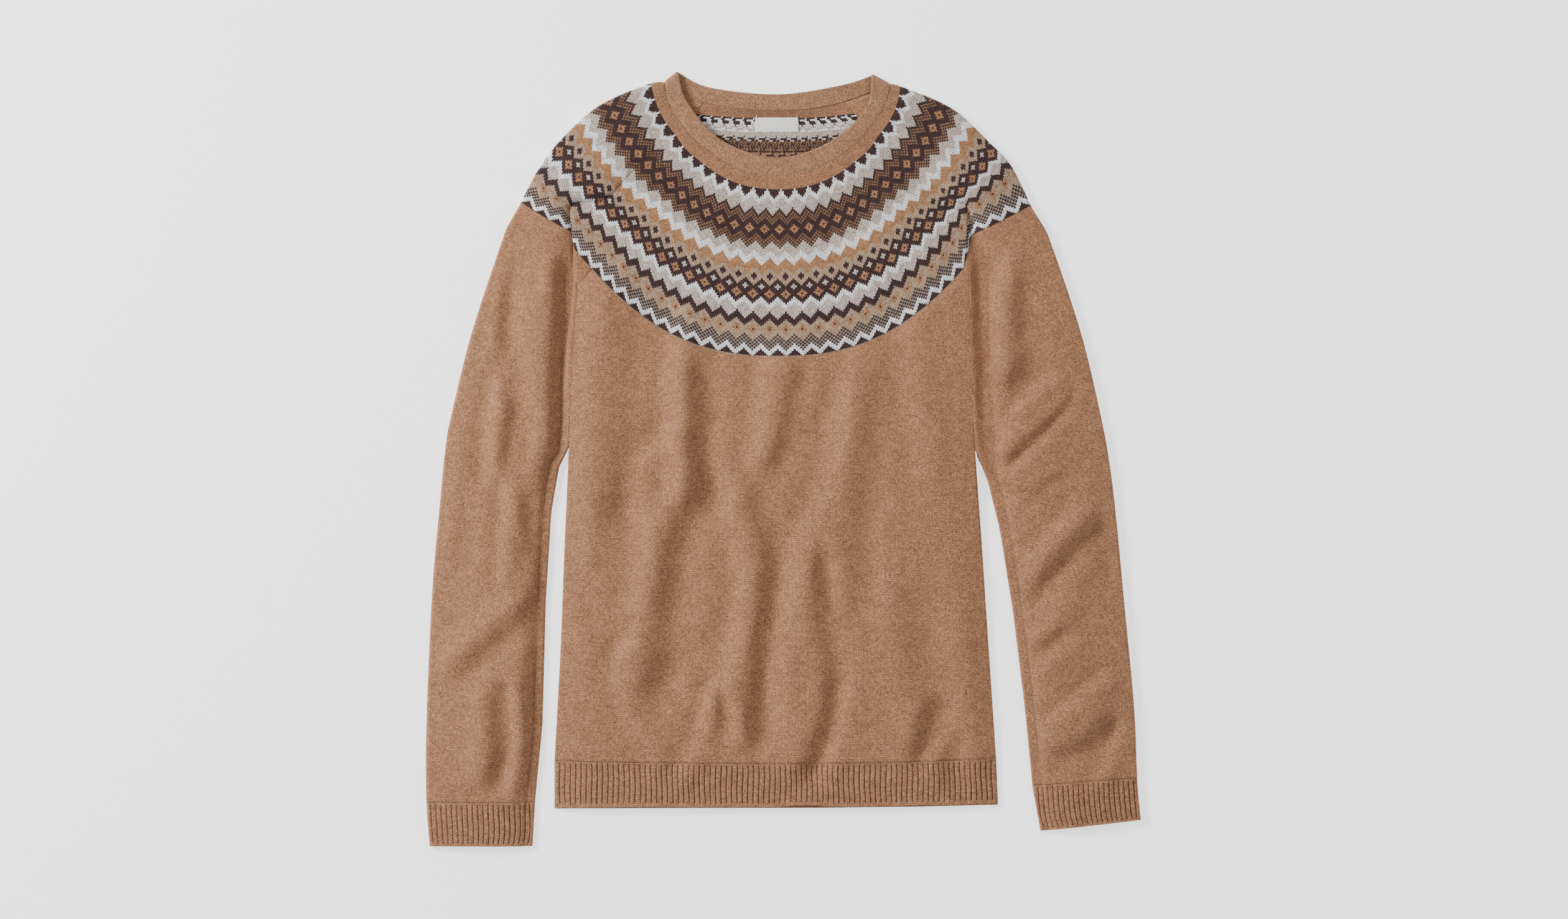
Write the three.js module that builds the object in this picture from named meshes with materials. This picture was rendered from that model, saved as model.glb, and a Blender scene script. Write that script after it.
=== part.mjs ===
// Fair isle jumper with a round yoke, laid flat with its front up.
// Millimetres, +Z up, +Y towards the neck. The origin is on the floor under
// the body's centre line, level with the underarms.
import * as THREE from "three";

// Driving dimensions of the cloth.
const WALL = 2; // knitted cloth
const BAND_WALL = 3; // neckband, folded double
const LABEL_WALL = 1; // woven label
const SEAM = 0.3; // gap between two pieces that are sewn together
const SIDE_SEAM = 0.25; // half of the plan gap at a slanted seam
const FOLD = 2.6; // radius of a folded edge, at the middle of the cloth
const RIB_HEIGHT = 1.1; // how far a rib stands out of its band
const HEM_RIBS = 83; // ribs across the front hem
const CUFF_RIBS = 21; // ribs across the upper side of a cuff
const EDGE_WIDTH = 45; // how far in from a side the front rises
const FOLD_FADE = 22; // how far in from an edge the creases reach full depth
const TUCK = 0.08; // share of the band's width drawn in where it turns over

const BACK_Z = WALL / 2; // middle of a layer that lies on the floor
const LOW_Z = WALL + SEAM + WALL / 2; // middle of a layer that lies on the back
const OUTER_Z = BACK_Z + 2 * FOLD; // top of a folded edge

// Wool colours, roughness for all.
const CAMEL = 0xb0865f;
const RIB_CAMEL = 0xa87e58;
const LABEL_WHITE = 0xe8e4de;

// Front panel, a row for each course that shapes it. centre is the course's
// height on the centre line, left and right are its ends (out from the centre
// line, then height), power bends it, edge is the cloth's height at the sides
// and rise what it gains inside.
const FRONT = [
  { centre: 248.9, left: [63.3, 272.4], right: [62.2, 271.3], power: 2.3, edge: 6.5, rise: 0, steps: 1 },
  { centre: 233.2, left: [73.9, 261.2], right: [72.8, 260.3], power: 2.35, edge: 6.8, rise: 0.6, steps: 6 },
  { centre: 84.8, left: [167, 163.3], right: [166.5, 162.7], power: 2.45, edge: 8, rise: 2, steps: 1 },
  { centre: 72, left: [179.8, 149.8], right: [170.2, 158.8], power: 2.4, edge: 7, rise: 3, steps: 4 },
  { centre: 12, left: [185.5, 70], right: [173, 80], power: 2, edge: 5.8, rise: 5, steps: 3 },
  { centre: -26, left: [188, 4], right: [177.5, 2], power: 2, edge: 4.6, rise: 6, steps: 3 },
  { centre: -92, left: [192.1, -79], right: [183.7, -79], power: 2, edge: 3.3, rise: 7, steps: 4 },
  { centre: -183, left: [196, -180], right: [190.4, -180], power: 2, edge: 3.3, rise: 7, steps: 5 },
  { centre: -282, left: [201.4, -279.5], right: [197, -277.5], power: 2, edge: 3.4, rise: 5.5, steps: 2 },
  { centre: -321, left: [201, -322], right: [198.2, -318], power: 2, edge: 3.3, rise: 4, steps: 0 },
];

// Back panel, in the same columns; it lies flat on the floor.
const BACK = [
  { centre: 307.3, left: [65.9, 314.8], right: [60.9, 315.6], power: 2.2, steps: 4 },
  { centre: 152, left: [165, 185], right: [157, 185], power: 2.2, steps: 3 },
  { centre: 2, left: [188, 4], right: [177.5, 2], power: 2, steps: 1 },
  { centre: -80, left: [192.1, -79], right: [183.7, -79], power: 2, steps: 2 },
  { centre: -181, left: [196, -180], right: [190.4, -180], power: 2, steps: 2 },
  { centre: -280, left: [201.4, -279.5], right: [197, -277.5], power: 2, steps: 1 },
  { centre: -322, left: [201.4, -322.5], right: [198.6, -319], power: 2, steps: 0 },
];

// Sleeves, a row for each section from the neckband down to the cuff's end.
// in is the seam on the front, crest and foot the soft fold beside the body,
// out the folded outer edge, back the seam behind. bulge bows the outer part
// of a course, puff lifts the middle, and z holds the heights of in, crest
// and foot. The side seam closes the sleeve below the underarm.
const SLEEVE = {
  left: [
    { in: [63.3, 272.4], crest: [82, 290.3], foot: [84.5, 293.6], out: [101.9, 331.2], back: [65.9, 314.8],
      bulge: 3, puff: 0, z: [6.5, 6.5, 6.5], steps: 1 },
    { in: [73.9, 261.2], crest: [93, 279.5], foot: [95.5, 282.8], out: [117.6, 329], back: [75.8, 301.8],
      bulge: 4, puff: 0.5, z: [6.8, 6.9, 6.9], steps: 2 },
    { in: [101.6, 232.1], crest: [124, 250], foot: [128, 254.5], out: [162, 309], back: [102.6, 266.8],
      bulge: 3, puff: 2, z: [7.2, 7.8, 7.8], steps: 2 },
    { in: [129.6, 202.6], crest: [152, 222], foot: [156, 227], out: [196.5, 277.5], back: [129.3, 231.7],
      bulge: 2, puff: 4, z: [7.5, 8.2, 8.1], steps: 1 },
    { in: [148.3, 182.9], crest: [182.5, 217], foot: [186, 222], out: [216.5, 250], back: [147.2, 208.4],
      bulge: 1, puff: 4, z: [7.8, 8.2, 7.4], steps: 1 },
    { in: [167, 163.3], crest: [182, 180], foot: [184.6, 196], out: [230.7, 223.2], back: [165, 185],
      bulge: 1, puff: 4, z: [8, 8, 4.4], steps: 1 },
    { in: [179.8, 149.8], crest: [180.8, 151.5], foot: [183.4, 166], out: [240.2, 206.4], back: [169.1, 152.4],
      bulge: 1, puff: 4, z: [7, 7, 3.8], steps: 1 },
    { in: [180.64, 138], crest: [181.8, 139], foot: [184, 148], out: [247.5, 189.6], back: [171, 137.9],
      bulge: 1, puff: 4, z: [3.5, 3.5, 3.6], steps: 2 },
    { in: [185.5, 70], crest: [188, 73], foot: [193, 78], out: [275, 106], back: [179.5, 71],
      bulge: 0, puff: 5, z: [3.3, 3.6, 4.2], steps: 2 },
    { in: [188, 4], crest: [191.5, 5], foot: [197, 7], out: [293.6, 31], back: [188, 4],
      bulge: 0, puff: 6, z: [3.3, 3.8, 4.5], steps: 1 },
    { in: [197.4, -15], crest: [201, -14], foot: [206, -12.5], out: [298.6, 3], back: [197.4, -15],
      bulge: 0, puff: 6, z: [3.3, 3.8, 4.5], steps: 1 },
    { in: [204.2, -55], crest: [207.5, -54], foot: [212, -53], out: [303.4, -45], back: [204.2, -55],
      bulge: 0, puff: 6, z: [3.3, 3.8, 4.5], steps: 3 },
    { in: [209.2, -135], crest: [212.5, -134.5], foot: [217, -134], out: [310.7, -129], back: [209.2, -135],
      bulge: 0, puff: 6, z: [3.3, 3.8, 4.5], steps: 3 },
    { in: [212.2, -247], crest: [216, -247], foot: [221, -247], out: [315.8, -246], back: [212.2, -247],
      bulge: 0, puff: 6, z: [3.3, 3.8, 4.5], steps: 2 },
    { in: [219, -317], crest: [222.5, -317], foot: [227, -317], out: [315.8, -317], back: [219, -317],
      bulge: 0, puff: 3.5, z: [3.3, 3.8, 4.5], steps: 2 },
    { in: [221.2, -356], crest: [224.5, -356], foot: [229, -356], out: [313, -356], back: [221.2, -356],
      bulge: 0, puff: 3, z: [3.3, 3.8, 4.5], steps: 0 },
  ],
  right: [
    { in: [62.2, 271.3], crest: [80.4, 289.3], foot: [83, 292.6], out: [101, 329.5], back: [60.9, 315.6],
      bulge: 3, puff: 0, z: [6.5, 6.5, 6.5], steps: 1 },
    { in: [72.8, 260.3], crest: [92, 279.5], foot: [94.5, 283], out: [113.7, 326.2], back: [70.5, 302.5],
      bulge: 4, puff: 0.5, z: [6.8, 6.9, 6.9], steps: 2 },
    { in: [99.6, 232.3], crest: [121, 251], foot: [125, 255.5], out: [157, 307], back: [96.5, 267.3],
      bulge: 3, puff: 2, z: [7.2, 7.8, 7.8], steps: 2 },
    { in: [128, 202.8], crest: [150, 223], foot: [154, 228], out: [191, 276], back: [122.4, 232],
      bulge: 2, puff: 4, z: [7.5, 8.2, 8.1], steps: 1 },
    { in: [147, 183], crest: [167, 213], foot: [170.5, 220], out: [209.5, 256], back: [139.7, 208.5],
      bulge: 1, puff: 4, z: [7.8, 8.2, 7], steps: 1 },
    { in: [166.5, 162.66], crest: [168.6, 170], foot: [171, 191], out: [227.4, 220.4], back: [157, 185],
      bulge: 1, puff: 4, z: [8, 8, 4.4], steps: 1 },
    { in: [170.2, 158.8], crest: [171, 160], foot: [173, 178], out: [235.8, 206.4], back: [160.7, 152.1],
      bulge: 1, puff: 4, z: [7, 7, 3.8], steps: 1 },
    { in: [170.65, 146], crest: [172, 147], foot: [175, 157], out: [245.4, 187], back: [162.3, 137.4],
      bulge: 1, puff: 4, z: [3.5, 3.5, 3.6], steps: 2 },
    { in: [173, 80], crest: [176, 82], foot: [181, 86], out: [273, 104], back: [169.3, 75.2],
      bulge: 0, puff: 5, z: [3.3, 3.6, 4.2], steps: 2 },
    { in: [177.5, 2], crest: [181.5, 3], foot: [187, 5], out: [291.4, 26], back: [177.5, 2],
      bulge: 0, puff: 6, z: [3.3, 3.8, 4.5], steps: 1 },
    { in: [189.6, -28], crest: [193.5, -27], foot: [199, -25.5], out: [298.8, -16], back: [189.6, -28],
      bulge: 0, puff: 6, z: [3.3, 3.8, 4.5], steps: 1 },
    { in: [200, -70], crest: [203.5, -69], foot: [208.5, -68], out: [304.3, -62], back: [200, -70],
      bulge: 0, puff: 6, z: [3.3, 3.8, 4.5], steps: 3 },
    { in: [212.2, -146], crest: [215.7, -145.5], foot: [220.5, -145], out: [311.5, -138], back: [212.2, -146],
      bulge: 0, puff: 6, z: [3.3, 3.8, 4.5], steps: 3 },
    { in: [223.1, -235], crest: [226.6, -234.5], foot: [231.5, -234], out: [320.2, -230], back: [223.1, -235],
      bulge: 0, puff: 6, z: [3.3, 3.8, 4.5], steps: 2 },
    { in: [229.6, -302], crest: [233.2, -301.5], foot: [238, -301], out: [323.1, -294.8], back: [229.6, -302],
      bulge: 0, puff: 3.5, z: [3.3, 3.8, 4.5], steps: 2 },
    { in: [236.9, -342.4], crest: [240, -342], foot: [244, -341.5], out: [326.5, -332.4], back: [236.9, -342.4],
      bulge: 0, puff: 3, z: [3.3, 3.8, 4.5], steps: 0 },
  ],
};
const CUFF_ROW = 14; // the row where sleeve and cuff are joined
// Seam gaps as shares of the rows beside them.
const SLEEVE_TOP_GAP = 0.042;
const SLEEVE_END_GAP = 0.004;

// The neckband's open edge, from the left shoulder fold to the right one on
// the front, and from the right one to the left one behind.
const BAND_FRONT = [[-89.6, 341.3], [-81.8, 315], [-50.1, 279.7], [0, 264.2], [47.4, 278.8], [79.5, 309], [84.6, 338.5]];
const BAND_BACK = [[84.6, 338.5], [56, 329.6], [0, 321.7], [-61.6, 327.9], [-89.6, 341.3]];

// The label inside the back of the neck.
const LABEL = { width: 38.9, height: 13, x: -0.95, y: 294 };

// Largest folds. A positive height is a ridge, a negative one a trough, and
// each follows a path of [x, y] places and falls away over its width.
const BODY_FOLDS = [
  { name: "edge roll", path: [[-172, 130], [-176, -20]], width: 11, height: 2 },
  { name: "left trough", path: [[-126, 137], [-120, -30], [-151, -98]], width: 16, height: -4 },
  { name: "left ridge", path: [[-90, 92], [-92, -9], [-125, -30], [-134, -98], [-140, -227]], width: 17, height: 4 },
  { name: "deep left trough", path: [[-70, 47], [-73, -42], [-92, -87], [-101, -154], [-118, -227]], width: 14, height: -6 },
  { name: "waist ridge", path: [[-56, -42], [-45, -126], [-39, -182], [-50, -216]], width: 14, height: 5 },
  { name: "hem hollow", path: [[-56, -232], [-56, -244]], width: 13, height: -4 },
  { name: "centre trough", path: [[-28, -70], [-11, -126], [-11, -182], [-22, -266]], width: 12, height: -5 },
  { name: "chest ridge", path: [[-22, 58], [-22, -9]], width: 16, height: 3 },
  { name: "centre ridge", path: [[22, 47], [39, 2], [39, -70], [11, -115], [6, -188], [0, -255]], width: 15, height: 4 },
  { name: "right trough", path: [[70, 92], [76, 42], [70, -70], [67, -154]], width: 15, height: -5 },
  { name: "deep right trough", path: [[34, -98], [34, -182], [39, -238], [28, -283]], width: 12, height: -6 },
  { name: "right ridge", path: [[115, 92], [115, -42]], width: 20, height: 3.5 },
  { name: "right hollow", path: [[129, -227], [129, -266]], width: 12, height: -4 },
  { name: "lower right ridge", path: [[157, -154], [157, -294]], width: 16, height: 3.5 },
];
const SLEEVE_FOLDS = [
  { name: "left shoulder ridge", path: [[-218, 193], [-218, 70]], width: 15, height: 2.5 },
  { name: "left elbow ridge", path: [[-255, 58], [-255, -14]], width: 14, height: 3 },
  { name: "left inner ridge", path: [[-235, 14], [-235, -70]], width: 14, height: 3 },
  { name: "left slant", path: [[-290, -196], [-222, -134]], width: 13, height: 3 },
  { name: "left cuff hollow", path: [[-252, -240], [-252, -275]], width: 14, height: -4 },
  { name: "right fan ridge", path: [[212, 12], [263, 58]], width: 10, height: 3.5 },
  { name: "right fan trough", path: [[214, -12], [269, 19]], width: 10, height: -3 },
  { name: "right upper trough", path: [[207, 95], [238, 30]], width: 12, height: -3 },
  { name: "right slant", path: [[246, -115], [293, -72]], width: 13, height: 3 },
  { name: "lower right slant", path: [[241, -188], [280, -154]], width: 13, height: 3 },
  { name: "right cuff hollow", path: [[274, -255], [274, -268]], width: 14, height: -4 },
];

function mix(a, b, t) {
  return a + (b - a) * t;
}

// Easing that starts steep and levels out.
function rounded(t) {
  const s = Math.min(1, Math.max(0, t));
  return 1 - (1 - s) ** 2;
}

// Value of a smooth curve through four neighbouring values.
function smoothed(before, a, b, after, t) {
  const slopeA = (b - before) / 2;
  const slopeB = (after - a) / 2;
  const t2 = t * t;
  const t3 = t2 * t;
  return (2 * t3 - 3 * t2 + 1) * a + (t3 - 2 * t2 + t) * slopeA + (3 * t2 - 2 * t3) * b + (t3 - t2) * slopeB;
}

// One column of a table at a place between its rows, straight or smooth.
function column(rows, pick, at, smooth) {
  const last = rows.length - 1;
  const i = Math.min(Math.floor(at), last - 1);
  const t = at - i;
  if (!smooth) return mix(pick(rows[i]), pick(rows[i + 1]), t);
  const near = [i - 1, i, i + 1, i + 2].map((k) => pick(rows[Math.min(last, Math.max(0, k))]));
  return smoothed(...near, t);
}

function pairOf(rows, name, at, smooth) {
  return [0, 1].map((k) => column(rows, (row) => row[name][k], at, smooth));
}

// Places between the rows of a table, with each row itself among them.
function places(rows, first, last) {
  const list = [];
  for (let i = first; i < last; i++) {
    for (let k = 0; k < rows[i].steps; k++) list.push(i + k / rows[i].steps);
  }
  list.push(last);
  return list;
}

// Moves the two ends of a list of places inwards, to leave the seams open.
function openEnds(list, start, end) {
  const open = list.slice();
  open[0] += start;
  open[open.length - 1] -= end;
  return open;
}

function distanceToPath(x, y, path) {
  let nearest = Infinity;
  for (let i = 0; i + 1 < path.length; i++) {
    const [ax, ay] = path[i];
    const dx = path[i + 1][0] - ax;
    const dy = path[i + 1][1] - ay;
    const t = Math.min(1, Math.max(0, ((x - ax) * dx + (y - ay) * dy) / (dx * dx + dy * dy)));
    nearest = Math.min(nearest, Math.hypot(x - ax - t * dx, y - ay - t * dy));
  }
  return nearest;
}

// Height that the folds add at a place.
function foldHeight(folds, x, y) {
  let sum = 0;
  for (const fold of folds) sum += fold.height * Math.exp(-((distanceToPath(x, y, fold.path) / fold.width) ** 2));
  return sum;
}

// A closed wall round a grid of middle points. offset(i, j, side) says how
// far the outer (side 1) or inner (side -1) point lies from the middle, as a
// vector. ring joins the last row to the first.
function wall(middle, offset, ring = false) {
  const rows = middle.length;
  const cols = middle[0].length;
  const points = [];
  const index = (side, i, j) => ((side * rows + (i % rows)) * cols + j);
  for (const side of [1, -1]) {
    for (let i = 0; i < rows; i++) {
      for (let j = 0; j < cols; j++) {
        const p = middle[i][j].clone().add(offset(i, j, side));
        points.push(p.x, p.y, p.z);
      }
    }
  }
  const faces = [];
  const quad = (a, b, c, d) => faces.push(a, b, c, a, c, d);
  const rowPairs = ring ? rows : rows - 1;
  for (let i = 0; i < rowPairs; i++) {
    for (let j = 0; j + 1 < cols; j++) {
      quad(index(0, i, j), index(0, i + 1, j), index(0, i + 1, j + 1), index(0, i, j + 1));
      quad(index(1, i, j), index(1, i, j + 1), index(1, i + 1, j + 1), index(1, i + 1, j));
    }
    quad(index(0, i, 0), index(1, i, 0), index(1, i + 1, 0), index(0, i + 1, 0));
    quad(index(0, i, cols - 1), index(0, i + 1, cols - 1), index(1, i + 1, cols - 1), index(1, i, cols - 1));
  }
  for (let j = 0; !ring && j + 1 < cols; j++) {
    quad(index(0, 0, j), index(0, 0, j + 1), index(1, 0, j + 1), index(1, 0, j));
    quad(index(0, rows - 1, j), index(1, rows - 1, j), index(1, rows - 1, j + 1), index(0, rows - 1, j + 1));
  }
  const geometry = new THREE.BufferGeometry();
  geometry.setAttribute("position", new THREE.Float32BufferAttribute(points, 3));
  geometry.setIndex(faces);
  geometry.computeVertexNormals();
  return geometry;
}

// Directions across a grid: each row runs to the right seen from the top.
function normals(middle, ring = false) {
  const rows = middle.length;
  const cols = middle[0].length;
  const rowAt = (i) => (ring ? (i + rows) % rows : Math.min(rows - 1, Math.max(0, i)));
  return middle.map((row, i) => row.map((_, j) => {
    const down = middle[rowAt(i + 1)][j].clone().sub(middle[rowAt(i - 1)][j]);
    const along = row[Math.min(cols - 1, j + 1)].clone().sub(row[Math.max(0, j - 1)]);
    return down.cross(along).normalize();
  }));
}

function mesh(name, geometry, colour, roughness = 0.95) {
  const material = new THREE.MeshStandardMaterial({ color: colour, roughness, metalness: 0 });
  const piece = new THREE.Mesh(geometry, material);
  piece.name = name;
  return piece;
}

// Place and height on the front panel, for a table place and a fraction
// across it from -1 (left) to 1 (right).
function frontPoint(at, across) {
  const side = across < 0 ? "left" : "right";
  const [endX, endY] = pairOf(FRONT, side, at, false);
  const reach = endX - SIDE_SEAM;
  const centre = column(FRONT, (row) => row.centre, at, true);
  const power = column(FRONT, (row) => row.power, at, false);
  const x = across * reach;
  const y = mix(centre, endY, Math.abs(across) ** power);
  const inward = (1 - Math.abs(across)) * reach;
  const edge = column(FRONT, (row) => row.edge, at, false);
  const rise = column(FRONT, (row) => row.rise, at, false);
  const creases = foldHeight(BODY_FOLDS, x, y) * rounded(inward / FOLD_FADE);
  const z = Math.max(LOW_Z, edge + rise * rounded(inward / EDGE_WIDTH) + creases);
  return new THREE.Vector3(x, y, z);
}

// Fractions across a panel, closer together near its sides.
function acrossList(count) {
  return Array.from({ length: count + 1 }, (_, k) => {
    const s = (2 * k) / count - 1;
    return Math.sign(s) * (1 - (1 - Math.abs(s)) ** 1.25);
  });
}

function straightUp(thickness, extra = () => 0) {
  return (i, j, side) => new THREE.Vector3(0, 0, side * thickness / 2 + (side > 0 ? extra(i, j) : 0));
}

function makeFront() {
  const seamAtNeck = 0.03;
  const seamAtHem = 0.008;
  const rows = openEnds(places(FRONT, 0, 8), seamAtNeck, seamAtHem);
  const grid = rows.map((at) => acrossList(26).map((across) => frontPoint(at, across)));
  return mesh("front", wall(grid, straightUp(WALL)), CAMEL);
}

function backPoint(at, across) {
  const [endX, endY] = pairOf(BACK, across < 0 ? "left" : "right", at, false);
  const centre = column(BACK, (row) => row.centre, at, true);
  const power = column(BACK, (row) => row.power, at, false);
  const y = mix(centre, endY, Math.abs(across) ** power);
  return new THREE.Vector3(across * (endX - SIDE_SEAM), y, BACK_Z);
}

function makeBack() {
  const rows = openEnds(places(BACK, 0, 5), 0.005, 0.004);
  const grid = rows.map((at) => acrossList(12).map((across) => backPoint(at, across)));
  return mesh("back", wall(grid, straightUp(WALL)), CAMEL);
}

// Alternates 0 and 1, so that each rib has a valley and a ridge.
function makeHemFront() {
  const rows = openEnds(places(FRONT, 8, 9), 0.006, 0);
  const count = HEM_RIBS * 2;
  const across = Array.from({ length: count + 1 }, (_, k) => (2 * k) / count - 1);
  const grid = rows.map((at) => across.map((a) => frontPoint(at, a)));
  const rib = (i, j) => (j % 2) * RIB_HEIGHT;
  return mesh("hem_front", wall(grid, straightUp(WALL, rib)), RIB_CAMEL);
}

function makeHemBack() {
  const rows = openEnds(places(BACK, 5, 6), 0.004, 0);
  const grid = rows.map((at) => acrossList(8).map((across) => backPoint(at, across)));
  return mesh("hem_back", wall(grid, straightUp(WALL)), RIB_CAMEL);
}

// Place on a course between two ends, bowed to the outside by bulge.
function bowed(from, to, t, bulge) {
  const dx = to[0] - from[0];
  const dy = to[1] - from[1];
  const length = Math.hypot(dx, dy);
  const bow = 4 * t * (1 - t) * bulge;
  return [mix(from[0], to[0], t) + (dy / length) * bow, mix(from[1], to[1], t) - (dx / length) * bow];
}

// Section of a sleeve at a table place: the front layer from its seam to the
// folded outer edge, and the back layer under it.
function sleeveSection(side, at, frontCount, backCount) {
  const rows = SLEEVE[side];
  const sign = side === "left" ? -1 : 1;
  const seam = pairOf(rows, "in", at, false);
  seam[0] += SIDE_SEAM;
  const seamBehind = pairOf(rows, "back", at, false);
  seamBehind[0] += SIDE_SEAM;
  const crest = pairOf(rows, "crest", at, true);
  const foot = pairOf(rows, "foot", at, true);
  const out = pairOf(rows, "out", at, true);
  const bulge = column(rows, (row) => row.bulge, at, false);
  const puff = column(rows, (row) => row.puff, at, true);
  const [zIn, zCrest, zFoot] = [0, 1, 2].map((k) => column(rows, (row) => row.z[k], at, false));
  const points = [];
  const put = (place, z) => points.push(new THREE.Vector3(sign * place[0], place[1], z));
  put(seam, zIn);
  put(bowed(seam, crest, 0.5, bulge * 0.4), (zIn + zCrest) / 2);
  put(crest, zCrest);
  const length = Math.hypot(out[0] - foot[0], out[1] - foot[1]);
  const stop = 1 - FOLD / length;
  for (let k = 0; k <= frontCount; k++) {
    const t = (k / frontCount) * stop;
    const place = bowed(foot, out, t, bulge);
    const creases = foldHeight(SLEEVE_FOLDS, sign * place[0], place[1]) * rounded(((1 - t) * length) / FOLD_FADE);
    const lift = puff * Math.sin(Math.PI * (k / frontCount)) ** 0.8;
    put(place, Math.max(LOW_Z, mix(zFoot, OUTER_Z, k / frontCount) + lift + creases * rounded(t * 4)));
  }
  const behind = Math.hypot(out[0] - seamBehind[0], out[1] - seamBehind[1]);
  for (const degrees of [60, 30, 0, -30, -60]) {
    const angle = THREE.MathUtils.degToRad(degrees);
    const inset = FOLD * (1 - Math.cos(angle));
    const above = bowed(foot, out, 1 - inset / length, bulge);
    const below = bowed(seamBehind, out, 1 - inset / behind, 0);
    put(degrees > 0 ? above : below, BACK_Z + FOLD + FOLD * Math.sin(angle));
  }
  for (let k = 0; k <= backCount; k++) {
    const t = mix(1 - FOLD / behind, 0, k / backCount);
    put(bowed(seamBehind, out, t, 0), BACK_Z);
  }
  return points;
}

// The right sleeve is a mirror form, so its rows run the other way.
function sleeveWall(side, sections, thickness, relief = () => 0) {
  const grid = side === "left" ? sections.map((row) => row.slice().reverse()) : sections;
  const cols = grid[0].length;
  const across = normals(grid);
  const column = (j) => (side === "left" ? cols - 1 - j : j);
  const offset = (i, j, facing) => {
    const height = (facing * thickness) / 2 + (facing > 0 ? relief(i, column(j)) : 0);
    const edge = column(j) === 0 || column(j) === cols - 1;
    if (edge) return new THREE.Vector3(0, 0, Math.sign(across[i][j].z) * height);
    return across[i][j].clone().multiplyScalar(height);
  };
  return wall(grid, offset);
}

function makeSleeve(side) {
  const rows = openEnds(places(SLEEVE[side], 0, CUFF_ROW), SLEEVE_TOP_GAP, SLEEVE_END_GAP);
  const sections = rows.map((at) => sleeveSection(side, at, 5, 3));
  return mesh(`sleeve_${side}`, sleeveWall(side, sections, WALL), CAMEL);
}

// A cuff has a rib on each pair of its upper columns.
function makeCuff(side) {
  const rows = openEnds(places(SLEEVE[side], CUFF_ROW, CUFF_ROW + 1), 0.008, 0);
  const front = CUFF_RIBS * 2 - 3;
  const sections = rows.map((at) => sleeveSection(side, at, front, 3));
  const rib = (i, j) => (j <= front + 3 ? (j % 2) * RIB_HEIGHT : 0);
  return mesh(`cuff_${side}`, sleeveWall(side, sections, WALL, rib), RIB_CAMEL);
}

// Points of the seam under the neckband, once round: up the left sleeve from
// behind, across the front, down the right sleeve and back behind the neck.
function neckSeam() {
  const left = sleeveSection("left", 0, 5, 3).reverse();
  const right = sleeveSection("right", 0, 5, 3);
  const front = acrossList(26).slice(1, -1).map((across) => frontPoint(0, across));
  const behind = acrossList(12).slice(1, -1).map((across) => backPoint(0, across));
  return { front: [...left, ...front, ...right], behind: behind.reverse() };
}

// Distances along a line of points, from the first.
function runningLength(points) {
  const list = [0];
  for (let k = 1; k < points.length; k++) {
    const step = Math.hypot(points[k].x - points[k - 1].x, points[k].y - points[k - 1].y);
    list.push(list[k - 1] + step);
  }
  return list;
}

// Places on the band's open edge that go with places on its seam. Both turn
// over the shoulder folds at the same distance from them.
function openEdge(edge, seam) {
  const curve = new THREE.SplineCurve(edge.map(([x, y]) => new THREE.Vector2(x, y)));
  const total = curve.getLength();
  const along = runningLength(seam);
  const seamTotal = along[along.length - 1];
  return along.map((d) => {
    const stretch = (total - 2 * FOLD) / (seamTotal - 2 * FOLD);
    let place = FOLD + (d - FOLD) * stretch;
    if (d < FOLD) place = d;
    if (d > seamTotal - FOLD) place = total - (seamTotal - d);
    return curve.getPointAt(Math.min(1, Math.max(0, place / total)));
  });
}

function makeNeckband() {
  const seam = neckSeam();
  const folds = seam.front.map((p) => p.z === BACK_Z + FOLD);
  const first = folds.indexOf(true);
  const last = folds.lastIndexOf(true);
  const front = seam.front.slice(first, last + 1);
  const behind = [...seam.front.slice(last), ...seam.behind, ...seam.front.slice(0, first + 1)];
  const lift = (BAND_WALL - WALL) / 2;
  const rowsOf = (edge, points) => {
    const open = openEdge(edge, points);
    return points.map((p, k) => {
      const turned = Math.max(0, 1 - Math.abs(p.z - BACK_Z - FOLD) / FOLD);
      return [TUCK * Math.sqrt(turned), 0.5, 1].map((t) => {
        return new THREE.Vector3(mix(p.x, open[k].x, t), mix(p.y, open[k].y, t), p.z + lift);
      });
    });
  };
  const grid = [...rowsOf(BAND_FRONT, front), ...rowsOf(BAND_BACK, behind).slice(1, -1)];
  const across = normals(grid, true);
  const offset = (i, j, side) => across[i][j].clone().multiplyScalar((side * BAND_WALL) / 2);
  return mesh("neckband", wall(grid, offset, true), CAMEL);
}

function makeLabel() {
  const geometry = new THREE.BoxGeometry(LABEL.width, LABEL.height, LABEL_WALL);
  const piece = mesh("label", geometry, LABEL_WHITE, 0.7);
  piece.position.set(LABEL.x, LABEL.y, WALL + SEAM + LABEL_WALL / 2);
  return piece;
}

const jumper = new THREE.Group();
jumper.add(makeFront(), makeBack(), makeHemFront(), makeHemBack(), makeNeckband(), makeLabel());
for (const side of ["left", "right"]) jumper.add(makeSleeve(side), makeCuff(side));

export default jumper;
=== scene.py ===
# %% [markdown]
# # A fair isle jumper, laid flat
# The jumper lies on a table with its front up. Its panels are single layers
# of knitted wool, so each one is built here as a thin closed sheet: an outer
# face that carries the stitches, an inner face and a rim round both. The
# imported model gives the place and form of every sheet, and this script adds
# what a knitter would see: stitches, pattern, ribs, seams and wool.

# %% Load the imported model
import functools
import math

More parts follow.
